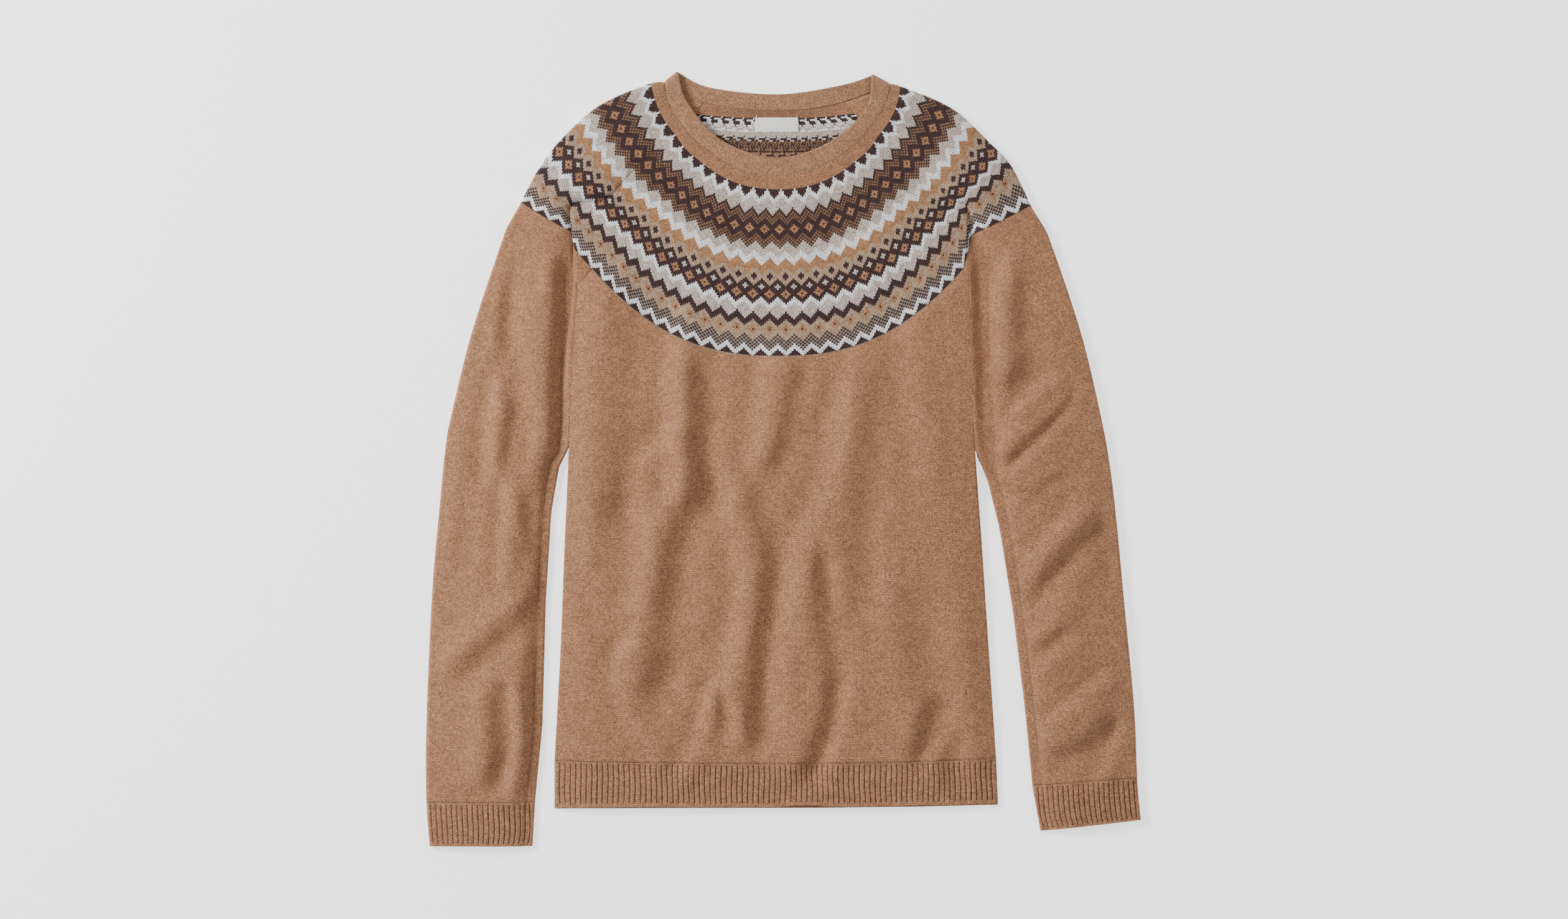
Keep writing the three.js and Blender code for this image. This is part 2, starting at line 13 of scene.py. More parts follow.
import bmesh
import bpy
import numpy as np
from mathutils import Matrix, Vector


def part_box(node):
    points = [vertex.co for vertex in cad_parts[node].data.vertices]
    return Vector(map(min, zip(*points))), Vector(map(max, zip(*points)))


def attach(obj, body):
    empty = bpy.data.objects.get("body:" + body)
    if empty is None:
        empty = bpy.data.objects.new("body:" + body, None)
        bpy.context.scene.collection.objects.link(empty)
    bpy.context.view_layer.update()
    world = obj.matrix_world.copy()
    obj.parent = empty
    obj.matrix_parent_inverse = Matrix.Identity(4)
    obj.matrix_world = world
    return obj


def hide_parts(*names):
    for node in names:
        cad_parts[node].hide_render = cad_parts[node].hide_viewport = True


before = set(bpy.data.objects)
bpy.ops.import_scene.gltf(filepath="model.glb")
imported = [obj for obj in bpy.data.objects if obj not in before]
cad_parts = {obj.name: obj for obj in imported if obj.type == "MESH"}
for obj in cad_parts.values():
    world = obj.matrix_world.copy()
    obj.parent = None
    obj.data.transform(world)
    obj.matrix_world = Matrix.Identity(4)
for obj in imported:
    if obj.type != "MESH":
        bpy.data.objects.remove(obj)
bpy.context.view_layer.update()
print("packed nodes:", sorted(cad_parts))

# %% [markdown]
# ## Sizes
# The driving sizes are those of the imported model, in millimetres. A mesh is
# turned into metres when it is made. The knitting itself is measured in
# stitches: one is about 2 mm wide and 1.67 mm tall on this fine gauge.

# %% Driving sizes, in millimetres
MM = 0.001
WALL = 2.0
BAND_WALL = 3.0
HAIR = 0.02  # gap where two panels are knitted or linked together
FOLD = 2.6
EDGE_WIDTH = 45.0
FOLD_FADE = 22.0
TUCK = 0.08
BACK_Z = WALL / 2
LOW_Z = WALL + 0.3 + WALL / 2
OUTER_Z = BACK_Z + 2 * FOLD

STITCH = 2.0  # width of a stitch in the plain parts
ROW = 1.669  # height of a row of stitches
YOKE_TOP = 235.5  # first pattern row on the centre line of the front
CROWN_ROWS = 8  # plain rows between the neckband and the pattern
YOKE_ROWS = 90
HEM_RIBS = 83
CUFF_RIBS = 21

# %% [markdown]
# ## Panels as tables
# A panel is a stack of courses, the rows that a knitter works from side to
# side. Each row of a table shapes one course, and the courses between are
# interpolated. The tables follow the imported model, so that the sheets lie
# where its solids do; only the seams beside the body stand 2 to 5 mm higher.

# %% Tables of the panels
def table(names, rows):
    columns = np.array(rows, float).T
    return dict(zip(names.split(), columns))


FRONT = table("centre left_x left_y right_x right_y power edge rise", [
    (248.9, 63.3, 272.4, 62.2, 271.3, 2.3, 6.5, 0),
    (233.2, 73.9, 261.2, 72.8, 260.3, 2.35, 6.8, 0.6),
    (84.8, 167, 163.3, 166.5, 162.7, 2.45, 8, 2),
    (72, 179.8, 149.8, 170.2, 158.8, 2.4, 9, 2.5),
    (12, 185.5, 70, 173, 80, 2, 9, 3),
    (-26, 188, 4, 177.5, 2, 2, 7.5, 4),
    (-92, 192.1, -79, 183.7, -79, 2, 4.3, 6),
    (-183, 196, -180, 190.4, -180, 2, 3.3, 7),
    (-282, 201.4, -279.5, 197, -277.5, 2, 3.4, 5.5),
    (-321, 201, -322, 198.2, -318, 2, 3.3, 4),
])
BACK = table("centre left_x left_y right_x right_y power", [
    (307.3, 65.9, 314.8, 60.9, 315.6, 2.2),
    (152, 165, 185, 157, 185, 2.2),
    (2, 188, 4, 177.5, 2, 2),
    (-80, 192.1, -79, 183.7, -79, 2),
    (-181, 196, -180, 190.4, -180, 2),
    (-280, 201.4, -279.5, 197, -277.5, 2),
    (-322, 201.4, -322.5, 198.6, -319, 2),
])
SLEEVE_COLUMNS = (
    "in_x in_y crest_x crest_y foot_x foot_y out_x out_y back_x back_y "
    "bulge puff z_in z_crest z_foot"
)
SLEEVES = {
    "left": table(SLEEVE_COLUMNS, [
        (63.3, 272.4, 82, 290.3, 84.5, 293.6, 101.9, 331.2, 65.9, 314.8, 3, 0, 6.5, 6.5, 6.5),
        (73.9, 261.2, 93, 279.5, 95.5, 282.8, 117.6, 329, 75.8, 301.8, 4, 0.5, 6.8, 6.9, 6.9),
        (101.6, 232.1, 124, 250, 128, 254.5, 162, 309, 102.6, 266.8, 3, 2, 7.2, 7.8, 7.8),
        (129.6, 202.6, 152, 222, 156, 227, 196.5, 277.5, 129.3, 231.7, 2, 4, 7.5, 8.2, 8.1),
        (148.3, 182.9, 182.5, 217, 186, 222, 216.5, 250, 147.2, 208.4, 1, 4, 7.8, 8.2, 7.4),
        (167, 163.3, 182, 180, 184.6, 196, 230.7, 223.2, 165, 185, 1, 4, 8, 8, 4.4),
        (179.8, 149.8, 180.8, 151.5, 183.4, 166, 240.2, 206.4, 169.1, 152.4, 1, 4, 9, 9, 3.8),
        (180.64, 138, 181.8, 139, 184, 148, 247.5, 189.6, 171, 137.9, 1, 4, 9, 9, 3.6),
        (185.5, 70, 188, 73, 193, 78, 275, 106, 179.5, 71, 0, 5, 9, 8.5, 3.6),
        (188, 4, 191.5, 5, 197, 7, 293.6, 31, 188, 4, 0, 6, 7.5, 6, 3.8),
        (197.4, -15, 201, -14, 206, -12.5, 298.6, 3, 197.4, -15, 0, 6, 4.5, 4.5, 4.5),
        (204.2, -55, 207.5, -54, 212, -53, 303.4, -45, 204.2, -55, 0, 6, 3.3, 3.8, 4.5),
        (209.2, -135, 212.5, -134.5, 217, -134, 310.7, -129, 209.2, -135, 0, 6, 3.3, 3.8, 4.5),
        (212.2, -247, 216, -247, 221, -247, 315.8, -246, 212.2, -247, 0, 6, 3.3, 3.8, 4.5),
        (219, -317, 222.5, -317, 227, -317, 315.8, -317, 219, -317, 0, 3.5, 3.3, 3.8, 4.5),
        (221.2, -356, 224.5, -356, 229, -356, 313, -356, 221.2, -356, 0, 3, 3.3, 3.8, 4.5),
    ]),
    "right": table(SLEEVE_COLUMNS, [
        (62.2, 271.3, 80.4, 289.3, 83, 292.6, 101, 329.5, 60.9, 315.6, 3, 0, 6.5, 6.5, 6.5),
        (72.8, 260.3, 92, 279.5, 94.5, 283, 113.7, 326.2, 70.5, 302.5, 4, 0.5, 6.8, 6.9, 6.9),
        (99.6, 232.3, 121, 251, 125, 255.5, 157, 307, 96.5, 267.3, 3, 2, 7.2, 7.8, 7.8),
        (128, 202.8, 150, 223, 154, 228, 191, 276, 122.4, 232, 2, 4, 7.5, 8.2, 8.1),
        (147, 183, 167, 213, 170.5, 220, 209.5, 256, 139.7, 208.5, 1, 4, 7.8, 8.2, 7),
        (166.5, 162.66, 168.6, 170, 174, 194, 227.4, 220.4, 157, 185, 1, 4, 8, 8, 4.4),
        (170.2, 158.8, 171, 160, 179, 178, 235.8, 206.4, 160.7, 152.1, 1, 4, 9, 9, 3.4),
        (170.65, 146, 171.5, 147, 181, 160, 245.4, 187, 162.3, 137.4, 1, 4, 9, 9, 3.4),
        (173, 80, 174, 80.5, 184, 87, 273, 104, 169.3, 75.2, 0, 5, 9, 9, 3.4),
        (177.5, 2, 178.5, 2.3, 188, 6, 291.4, 26, 177.5, 2, 0, 6, 7.5, 7.2, 3.6),
        (189.6, -28, 193.5, -27, 199, -25.5, 298.8, -16, 189.6, -28, 0, 6, 4.5, 4.5, 4.5),
        (200, -70, 203.5, -69, 208.5, -68, 304.3, -62, 200, -70, 0, 6, 3.3, 3.8, 4.5),
        (212.2, -146, 215.7, -145.5, 220.5, -145, 311.5, -138, 212.2, -146, 0, 6, 3.3, 3.8, 4.5),
        (223.1, -235, 226.6, -234.5, 231.5, -234, 320.2, -230, 223.1, -235, 0, 6, 3.3, 3.8, 4.5),
        (229.6, -302, 233.2, -301.5, 238, -301, 323.1, -294.8, 229.6, -302, 0, 3.5, 3.3, 3.8, 4.5),
        (236.9, -342.4, 240, -342, 244, -341.5, 326.5, -332.4, 236.9, -342.4, 0, 3, 3.3, 3.8, 4.5),
    ]),
}
YOKE_END = 5  # the sleeve's row at the end of the yoke
CUFF_ROW = 14
HEM_ROW = 8  # the front's row at the hem
BACK_HEM_ROW = 5
BAND_FRONT = [(-89.6, 341.3), (-81.8, 315), (-50.1, 279.7), (0, 264.2),
              (47.4, 278.8), (79.5, 309), (84.6, 338.5)]
BAND_BACK = [(84.6, 338.5), (56, 329.6), (0, 321.7), (-61.6, 327.9), (-89.6, 341.3)]

# %% [markdown]
# ## Folds
# Cloth that has been laid down by hand keeps soft folds. Most of them show as
# the slope between a ridge and a trough: a slope is a path, from its upper end
# down, with a width and a rise to its right. A dip is a path too, with a
# width and a depth, for the cloth that sinks beside the body.

# %% Folds of the body and the sleeves
BODY_SLOPES = [
    ([(-139, 131), (-142, 92), (-146, 27), (-148, -39)], 32, -9.5),
    ([(-155, -52), (-157, -91)], 20, -4.5),
    ([(-74, 66), (-70, 14), (-72, -30), (-92, -73), (-101, -126), (-107, -169), (-113, -208)], 21, -11.5),
    ([(17, 70), (2, 5), (-24, -34), (-11, -82), (-9, -113), (-16, -178), (-24, -256)], 15, -6),
    ([(-20, -213), (-24, -265)], 13, -2.5),
    ([(83, 40), (76, -30), (67, -100), (65, -134)], 20, -5),
    ([(34, -104), (39, -152), (46, -204), (41, -248), (26, -282)], 16, -8),
    ([(115, -134), (120, -187), (128, -248), (131, -270)], 20, -5),
    ([(137, -230), (124, -265)], 14, -6),
    ([(46, 62), (30, 27)], 12, -3),
    ([(-54, -221), (-54, -248)], 8, -3.5),
    ([(-135, -152), (-150, -174)], 10, -3.5),
    ([(-174, -152), (-161, -178)], 14, -3.5),
    ([(-78, -169), (-96, -187)], 20, -4.5),
    ([(105, 44), (115, -39)], 14, -2),
    ([(152, -269), (152, -295)], 14, -4.5),
    ([(-91, 114), (-94, 48), (-95, -34)], 14, 7),
    ([(-102, 14), (-124, -12), (-128, -39), (-122, -82), (-126, -126), (-146, -208), (-115, -274)], 14, 5),
    ([(-60, 5), (-46, -52), (-35, -113), (-43, -178), (-52, -208)], 15, 7),
    ([(-46, -213), (-37, -248)], 8, 4.5),
    ([(-61, -217), (-70, -252), (-85, -287)], 12, 5),
    ([(-11, 79), (-17, 35), (-21, -21)], 15, 6),
    ([(61, 66), (46, -21), (17, -95), (7, -152), (-2, -213), (2, -243)], 18, 7),
    ([(46, -82), (54, -134)], 10, 3),
    ([(61, -213), (52, -256), (41, -287)], 12, 5),
    ([(115, 118), (118, 57), (128, -17)], 18, 4.5),
    ([(152, -152), (159, -213), (170, -274)], 18, 5),
    ([(89, -60), (94, -126)], 14, 2.5),
    ([(148, -256), (131, -282)], 10, 3.5),
]
SLEEVE_SLOPES = [
    ([(-197, 165), (-196, 60), (-193, 8)], 14, -10.5),
    ([(-244, 159), (-250, 95)], 10, -4.5),
    ([(-233, 127), (-225, 63), (-218, 20), (-223, -17)], 14, 6),
    ([(-255, 58), (-261, 20), (-260, -17)], 10, 5),
    ([(-241, 36), (-247, -1)], 9, -4.5),
    ([(-279, -1), (-287, -55), (-292, -92)], 16, -4),
    ([(-244, -28), (-247, -76), (-249, -108)], 10, 5),
    ([(-228, -49), (-225, -76)], 10, -4.5),
    ([(-212, -132), (-249, -162), (-281, -191)], 16, -9),
    ([(-222, -151), (-222, -311)], 14, -6),
    ([(-257, -226), (-255, -269), (-260, -290)], 13, -8),
    ([(-239, -215), (-234, -258), (-244, -301)], 9, 6),
    ([(203, 170), (196, 105), (197, 61)], 13, 8),
    ([(212, 138), (215, 88), (204, 66)], 18, -7),
    ([(226, 80), (205, 62)], 13, -4.5),
    ([(245, 64), (217, 39), (199, 6)], 9, 6),
    ([(261, 42), (228, 12), (209, -7)], 9, -6),
    ([(269, 47), (234, 6), (206, -21)], 8, 4.5),
    ([(253, -21), (220, -40)], 10, -4.5),
    ([(223, -40), (203, -49)], 6, 4),
    ([(275, -70), (250, -98), (223, -131)], 14, -9),
    ([(267, -54), (228, -98)], 14, 5),
    ([(272, -120), (269, -147)], 13, -4.5),
    ([(289, -60), (289, -136)], 18, -4.5),
    ([(250, -163), (223, -183)], 9, -5),
    ([(261, -174), (231, -196)], 9, 4.5),
    ([(291, -207), (261, -229), (234, -248)], 10, 6),
    ([(291, -246), (272, -262), (253, -270)], 16, -9),
    ([(308, -251), (294, -284), (286, -295)], 10, 4),
]
SLEEVE_DIPS = [
    ([(-190, 155), (-191, 100), (-193, 50), (-194, 5)], 8, -4),
]
PUFF = 1.35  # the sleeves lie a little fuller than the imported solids
FULLEST = 0.62  # below 1, the fullest place lies nearer to the body
VALLEY = {"left": 2.0, "right": 9.0}  # width of the flat strip beside the body
HEM_LIFTS = [(24, 20, 2.0), (-125, 35, 0.8), (132, 18, 0.7)]  # place, width and rise


def curved(column, at):
    """Value of a smooth curve through a table column."""
    last = len(column) - 1
    i = np.clip(np.floor(at).astype(int), 0, last - 1)
    t = at - i
    before, a, b, after = (column[np.clip(i + k, 0, last)] for k in (-1, 0, 1, 2))
    slope_a, slope_b = (b - before) / 2, (after - a) / 2
    weights = (2 * t**3 - 3 * t**2 + 1, t**3 - 2 * t**2 + t, 3 * t**2 - 2 * t**3, t**3 - t**2)
    return sum(w * v for w, v in zip(weights, (a, slope_a, b, slope_b)))


@functools.lru_cache(None)
def smooth_path(path):
    """More points on a smooth curve through a path."""
    columns = np.array(path, float).T
    places = np.linspace(0, len(path) - 1, 4 * (len(path) - 1) + 1)
    return [tuple(p) for p in np.column_stack([curved(c, places) for c in columns])]


def beside_path(x, y, path):
    """Distance to a path, and how far to its right each place lies."""
    nearest = np.full(np.shape(x), np.inf)
    right = np.zeros(np.shape(x))
    points = smooth_path(tuple(path))
    for (ax, ay), (bx, by) in zip(points, points[1:]):
        dx, dy = bx - ax, by - ay
        length = math.hypot(dx, dy)
        t = np.clip(((x - ax) * dx + (y - ay) * dy) / length**2, 0, 1)
        distance = np.hypot(x - ax - t * dx, y - ay - t * dy)
        aside = ((y - ay) * dx - (x - ax) * dy) / length
        right = np.where(distance < nearest, aside, right)
        nearest = np.minimum(nearest, distance)
    return nearest, right


def fold_height(slopes, dips, x, y):
    total = np.zeros(np.shape(x))
    for path, width, rise in slopes:
        distance, right = beside_path(x, y, path)
        total += rise * right / width * np.exp(-((distance / width) ** 2))
    for path, width, depth in dips:
        distance, _ = beside_path(x, y, path)
        total += depth * np.exp(-((distance / width) ** 2))
    return total


# %% [markdown]
# ## Courses
# These helpers turn a table into courses. A share across the front runs from
# -1 at its left seam to 1 at its right one. A sleeve's course starts at its
# front seam, passes the soft fold beside the body, turns over at the outer
# edge and comes back underneath to its back seam.

# %% Courses of the front and the back
def mix(a, b, t):
    return a + (b - a) * t


def rounded(t):
    """Rises steeply and levels out."""
    return 1 - (1 - np.clip(t, 0, 1)) ** 2


def straight(column, at):
    return np.interp(at, np.arange(len(column)), column)


def seam_ends(rows, at, across):
    """Where the seam lies at the end of each point's half of a course."""
    return [np.where(across < 0, straight(rows["left_" + k], at), straight(rows["right_" + k], at))
            for k in "xy"]


def front_surface(at, across):
    """Middle of the cloth of the front panel."""
    at, across = np.broadcast_arrays(np.asarray(at, float), np.asarray(across, float))
    ends = seam_ends(FRONT, at, across)
    reach = ends[0] - HAIR
    share = np.abs(across)
    x = across * reach
    y = mix(straight(FRONT["centre"], at), ends[1], share ** straight(FRONT["power"], at))
    inward = (1 - share) * reach
    z = straight(FRONT["edge"], at) + straight(FRONT["rise"], at) * rounded(inward / EDGE_WIDTH)
    z = z + fold_height(BODY_SLOPES, [], x, y) * rounded(inward / FOLD_FADE)
    for place, width, rise in HEM_LIFTS:
        wave = rise * np.clip(at - HEM_ROW, 0, 1) ** 2 * np.exp(-(((x - place) / width) ** 2))
        y, z = y + wave, z + wave
    return np.stack([x, y, np.maximum(LOW_Z, z)], -1)


def back_surface(at, across):
    at, across = np.broadcast_arrays(np.asarray(at, float), np.asarray(across, float))
    ends = seam_ends(BACK, at, across)
    power = straight(BACK["power"], at)
    y = mix(straight(BACK["centre"], at), ends[1], np.abs(across) ** power)
    return np.stack([across * (ends[0] - HAIR), y, np.full(at.shape, BACK_Z)], -1)


# %% Courses of a sleeve
INNER_POINTS = 8  # from the front seam to the crest of the soft fold
DIP_POINTS = 5  # from the crest down to its foot
TOP_POINTS = 46
TURN_POINTS = 9
UNDER_POINTS = 24
FOLD_INDEX = INNER_POINTS + DIP_POINTS + TOP_POINTS + TURN_POINTS // 2


def bowed(start, end, t, bulge):
    """Places between two points, bowed to the outside by bulge."""
    step = end - start
    length = np.hypot(*step)
    bow = 4 * t * (1 - t) * bulge / length
    return start + np.outer(t, step) + np.outer(bow, (step[1], -step[0]))


def sleeve_course(side, at):
    """Middle of the cloth once round a sleeve, from its front to its back seam."""
    rows = SLEEVES[side]
    place = {}
    for name, value in (("in", straight), ("back", straight), ("crest", curved),
                        ("foot", curved), ("out", curved)):
        place[name] = np.array([value(rows[f"{name}_{k}"], at) for k in "xy"])
    place["in"][0] += HAIR
    place["back"][0] += HAIR
    bulge, puff = straight(rows["bulge"], at), curved(rows["puff"], at)
    z_in, z_crest, z_foot = (straight(rows[f"z_{k}"], at) for k in ("in", "crest", "foot"))

    t = np.arange(INNER_POINTS) / INNER_POINTS
    parts = [(bowed(place["in"], place["crest"], t, bulge * 0.4), mix(z_in, z_crest, t))]
    t = np.arange(DIP_POINTS) / DIP_POINTS
    parts.append((bowed(place["crest"], place["foot"], t, 0),
                  mix(z_crest, z_foot, t * t * (3 - 2 * t))))
    length = np.hypot(*(place["out"] - place["foot"]))
    t = np.arange(TOP_POINTS) / (TOP_POINTS - 1)
    top = bowed(place["foot"], place["out"], t * (1 - FOLD / length), bulge)
    sign = -1 if side == "left" else 1
    creases = fold_height(SLEEVE_SLOPES, SLEEVE_DIPS, sign * top[:, 0], top[:, 1])
    creases *= rounded((1 - t) * length / FOLD_FADE) * rounded(t * 4)
    valley = VALLEY[side] / length * np.interp(at, (4, 5.5, 9, 10), (0, 1, 1, 0))
    lift = PUFF * puff * np.sin(np.pi * np.clip((t - valley) / (1 - valley), 0, 1) ** FULLEST)
    parts.append((top, np.maximum(LOW_Z, mix(z_foot, OUTER_Z, t) + lift + creases)))
    behind = np.hypot(*(place["out"] - place["back"]))
    angle = np.radians(np.linspace(80, -80, TURN_POINTS))
    inset = FOLD * (1 - np.cos(angle))
    above = bowed(place["foot"], place["out"], 1 - inset / length, bulge)
    below = bowed(place["back"], place["out"], 1 - inset / behind, 0)
    turn = np.where(angle[:, None] > 0, above, below)
    parts.append((turn, BACK_Z + FOLD + FOLD * np.sin(angle)))
    t = mix(1 - FOLD / behind, 0, np.arange(UNDER_POINTS) / (UNDER_POINTS - 1))
    parts.append((bowed(place["back"], place["out"], t, 0), np.full(UNDER_POINTS, BACK_Z)))
    flat = np.concatenate([p for p, _ in parts])
    heights = np.concatenate([z for _, z in parts])
    return np.column_stack([sign * flat[:, 0], flat[:, 1], heights])


def running(points):
    """Distance along a line of points, from the first."""
    steps = np.linalg.norm(np.diff(points, axis=0), axis=1)
    return np.concatenate([[0], np.cumsum(steps)])


# %% [markdown]
# ## The yoke's rounds
# A round yoke is knitted in rings that pass over the front, both sleeves and
# the back without a break. `yoke_round` gives one ring at any height. Every
# point of it knows its share of the way: 0 at the centre of the front, 1 at
# the outer edge of a sleeve and 2 at the centre of the back. Stitches are then
# counted along the cloth itself, so the pattern runs on across the seams.

# %% Rings of the yoke
ACROSS = np.linspace(-1, 1, 321)
CENTRE = len(ACROSS) // 2
BACK_CENTRE = (307.3, 300, 152)  # centre of the back at the neck, the first and the last row


def centre_place(row):
    """Table place of the front at a pattern row."""
    height = YOKE_TOP - ROW * row
    return np.interp(-height, -FRONT["centre"], np.arange(len(FRONT["centre"])))


@functools.lru_cache(None)
def yoke_round(row):
    """Courses of one ring of the yoke, each with its shares of the way round."""
    at = centre_place(row)
    front = front_surface(at, ACROSS)
    along = running(front) - running(front)[CENTRE]
    courses, shares, behind = {}, along.copy(), {}
    for side, sign in (("left", -1), ("right", 1)):
        rows = SLEEVES[side]
        seam_x = straight(FRONT[side + "_x"], at)
        sleeve_at = np.interp(seam_x, rows["in_x"][: YOKE_END + 1], np.arange(YOKE_END + 1))
        sleeve = sleeve_course(side, sleeve_at)
        from_seam = running(sleeve)
        half = abs(along[0 if sign < 0 else -1])
        visible = half + from_seam[FOLD_INDEX]
        back_end = np.array([straight(rows["back_" + k], sleeve_at) for k in "xy"])
        behind[side] = (back_end, from_seam[-1] - from_seam[FOLD_INDEX])
        courses[side] = [sleeve, half + from_seam, visible]
        shares = np.where(np.sign(along) == sign, along / visible, shares)
    courses["front"] = (front, shares)
    centre_y = np.interp(row, (-CROWN_ROWS, 0, YOKE_ROWS), BACK_CENTRE)
    ends = [np.where(ACROSS < 0, behind["left"][0][k], behind["right"][0][k]) for k in (0, 1)]
    back_y = mix(centre_y, ends[1], np.abs(ACROSS) ** BACK["power"][0])
    back = np.stack([ACROSS * (ends[0] - HAIR), back_y, np.full(ACROSS.shape, BACK_Z)], -1)
    along = running(back) - running(back)[CENTRE]
    back_shares = along.copy()
    for side, sign in (("left", -1), ("right", 1)):
        sleeve, arc, visible = courses[side]
        whole = abs(along[0 if sign < 0 else -1]) + behind[side][1]
        share = np.where(arc <= visible, arc / visible, 1 + (arc - visible) / whole)
        courses[side] = (sleeve, share)
        back_shares = np.where(np.sign(along) == sign, along / whole, back_shares)
    courses["back"] = (back, back_shares)
    return courses


for row in (-CROWN_ROWS, 0, 45, 90):
    ring = yoke_round(float(row))
    print("ring", row, "front half", round(float(running(ring["front"][0])[-1]) / 2, 1), "mm")

# %% [markdown]
# ## The pattern
# Fair isle knitting uses at most two yarns in a row and repeats a small motif
# all the way round. Here each motif is 8 stitches wide and mirrored about its
# centre stitch, so five letters give a whole row: the centre stitch first, the
# stitch half a repeat away last. The rings get longer towards the shoulders,
# so the lower bands hold more repeats.

# %% Pattern of the yoke, as a chart
YARNS = {
    "C": "#B07E5C",  # camel ground
    "D": "#432F2E",  # dark brown
    "W": "#FCFAFA",  # natural white
    "B": "#CDBDB0",  # beige heather
    "G": "#B4835D",  # golden camel
    "M": "#B79A80",  # beige with camel
    "L": "#D3C7BC",  # light beige
    # g is camel darkened as painted shade, for the shade at the bottom of a rib's groove.
    "g": "#865D43",  # camel in the bottom of a rib's groove
    "n": "#B38462",  # camel of the neckband, knitted tighter and smoother
    # p and q are camel and light beige darkened as painted shade, where the raised dark stitches around
    # them would shade them.
    "p": "#8C6A50",  # camel seen between dark stitches
    "q": "#9C8C80",  # light beige seen between dark stitches
}
# P and Q check dark stitches with p or q, whose darker tone is painted shade.
TWO_TONE = {"P": "Dp", "Q": "Dq", "K": "DD"}
BANDS = [
    (24, 0, "CCCCC " * CROWN_ROWS),
    (26, -2, "DDDDW DDDWW DDDWW DDWWW DWWWB WWWBB WWBBB WBBBB BBBBB BBBBB"),
    (30, 1, "DBBBB PDBBB PPDBB PPPDB PPPPD PPPPP DPPPP DDPPP DDDPP CDDDP CCDDD DCCDD "
            "CCDDD CDDDP DDDPP DDPPP DPPPP PPPPD PPPDB PPDBB PDBBB DBBBB BBBBB"),
    (32, 0, "BBBBW BBBWW BBWWW BWWWW WWWWG WWWGG WWGGG WGGGG GGGGG GGGGG"),
    (34, 4, "MMGGG MMMGG DMMMG DDMMM DDMMM DMMMD MMMDD MMDDD MDDDL DDDLL DDDDL CDDDD "
            "CCDDD DCCDD CCDDD CDDDW DDDWW DDWWW DWWWB WWWBB WWBBB WBBBB BBBBB"),
    (36, 4, "DBBBB DDBBB DDDBB DDDDB MDDDD MMDDD MMMDD CMMMD"),
    (37, 4, "CCMMM KCCMM CCMMM CMMMM MMMMQ MMMQQ MMQQQ MQQQQ QQQQQ QQQQW QQQWW QQWWW "
            "QWWWD WWWDD WWDDD WDDDD"),
]


def stitch_yarn(letters, stitch, centre, row):
    """Yarn letter of one stitch in a pattern row."""
    letter = letters[abs((stitch - centre + 4) % 8 - 4)]
    if letter in TWO_TONE:
        letter = TWO_TONE[letter][(stitch + row) % 2]
    return letter


def linear(hex_colour):
    """An sRGB hex colour as linear light, with alpha."""
    values = [int(hex_colour[k : k + 2], 16) / 255 for k in (1, 3, 5)]
    light = [v / 12.92 if v <= 0.04045 else ((v + 0.055) / 1.055) ** 2.4 for v in values]
    return (*light, 1)


YARN_LETTERS = "CDWBGMLgnpq"
YARN_COLOURS = np.array([linear(YARNS[k]) for k in YARN_LETTERS])
CAMEL = YARN_LETTERS.index("C")
# The groove yarn's darker camel is painted shade.
GROOVE_SHADE = YARN_LETTERS.index("g")
print("pattern rows:", sum(len(rows.split()) for _, _, rows in BANDS))

# %% [markdown]
# ## Building a sheet
# A `Fabric` gathers points and faces. Grids of different fineness meet along
# the same course, and `zip_rows` fills the strip between them with triangles,
# as a linking machine joins two edges, so the sheet has no holes.

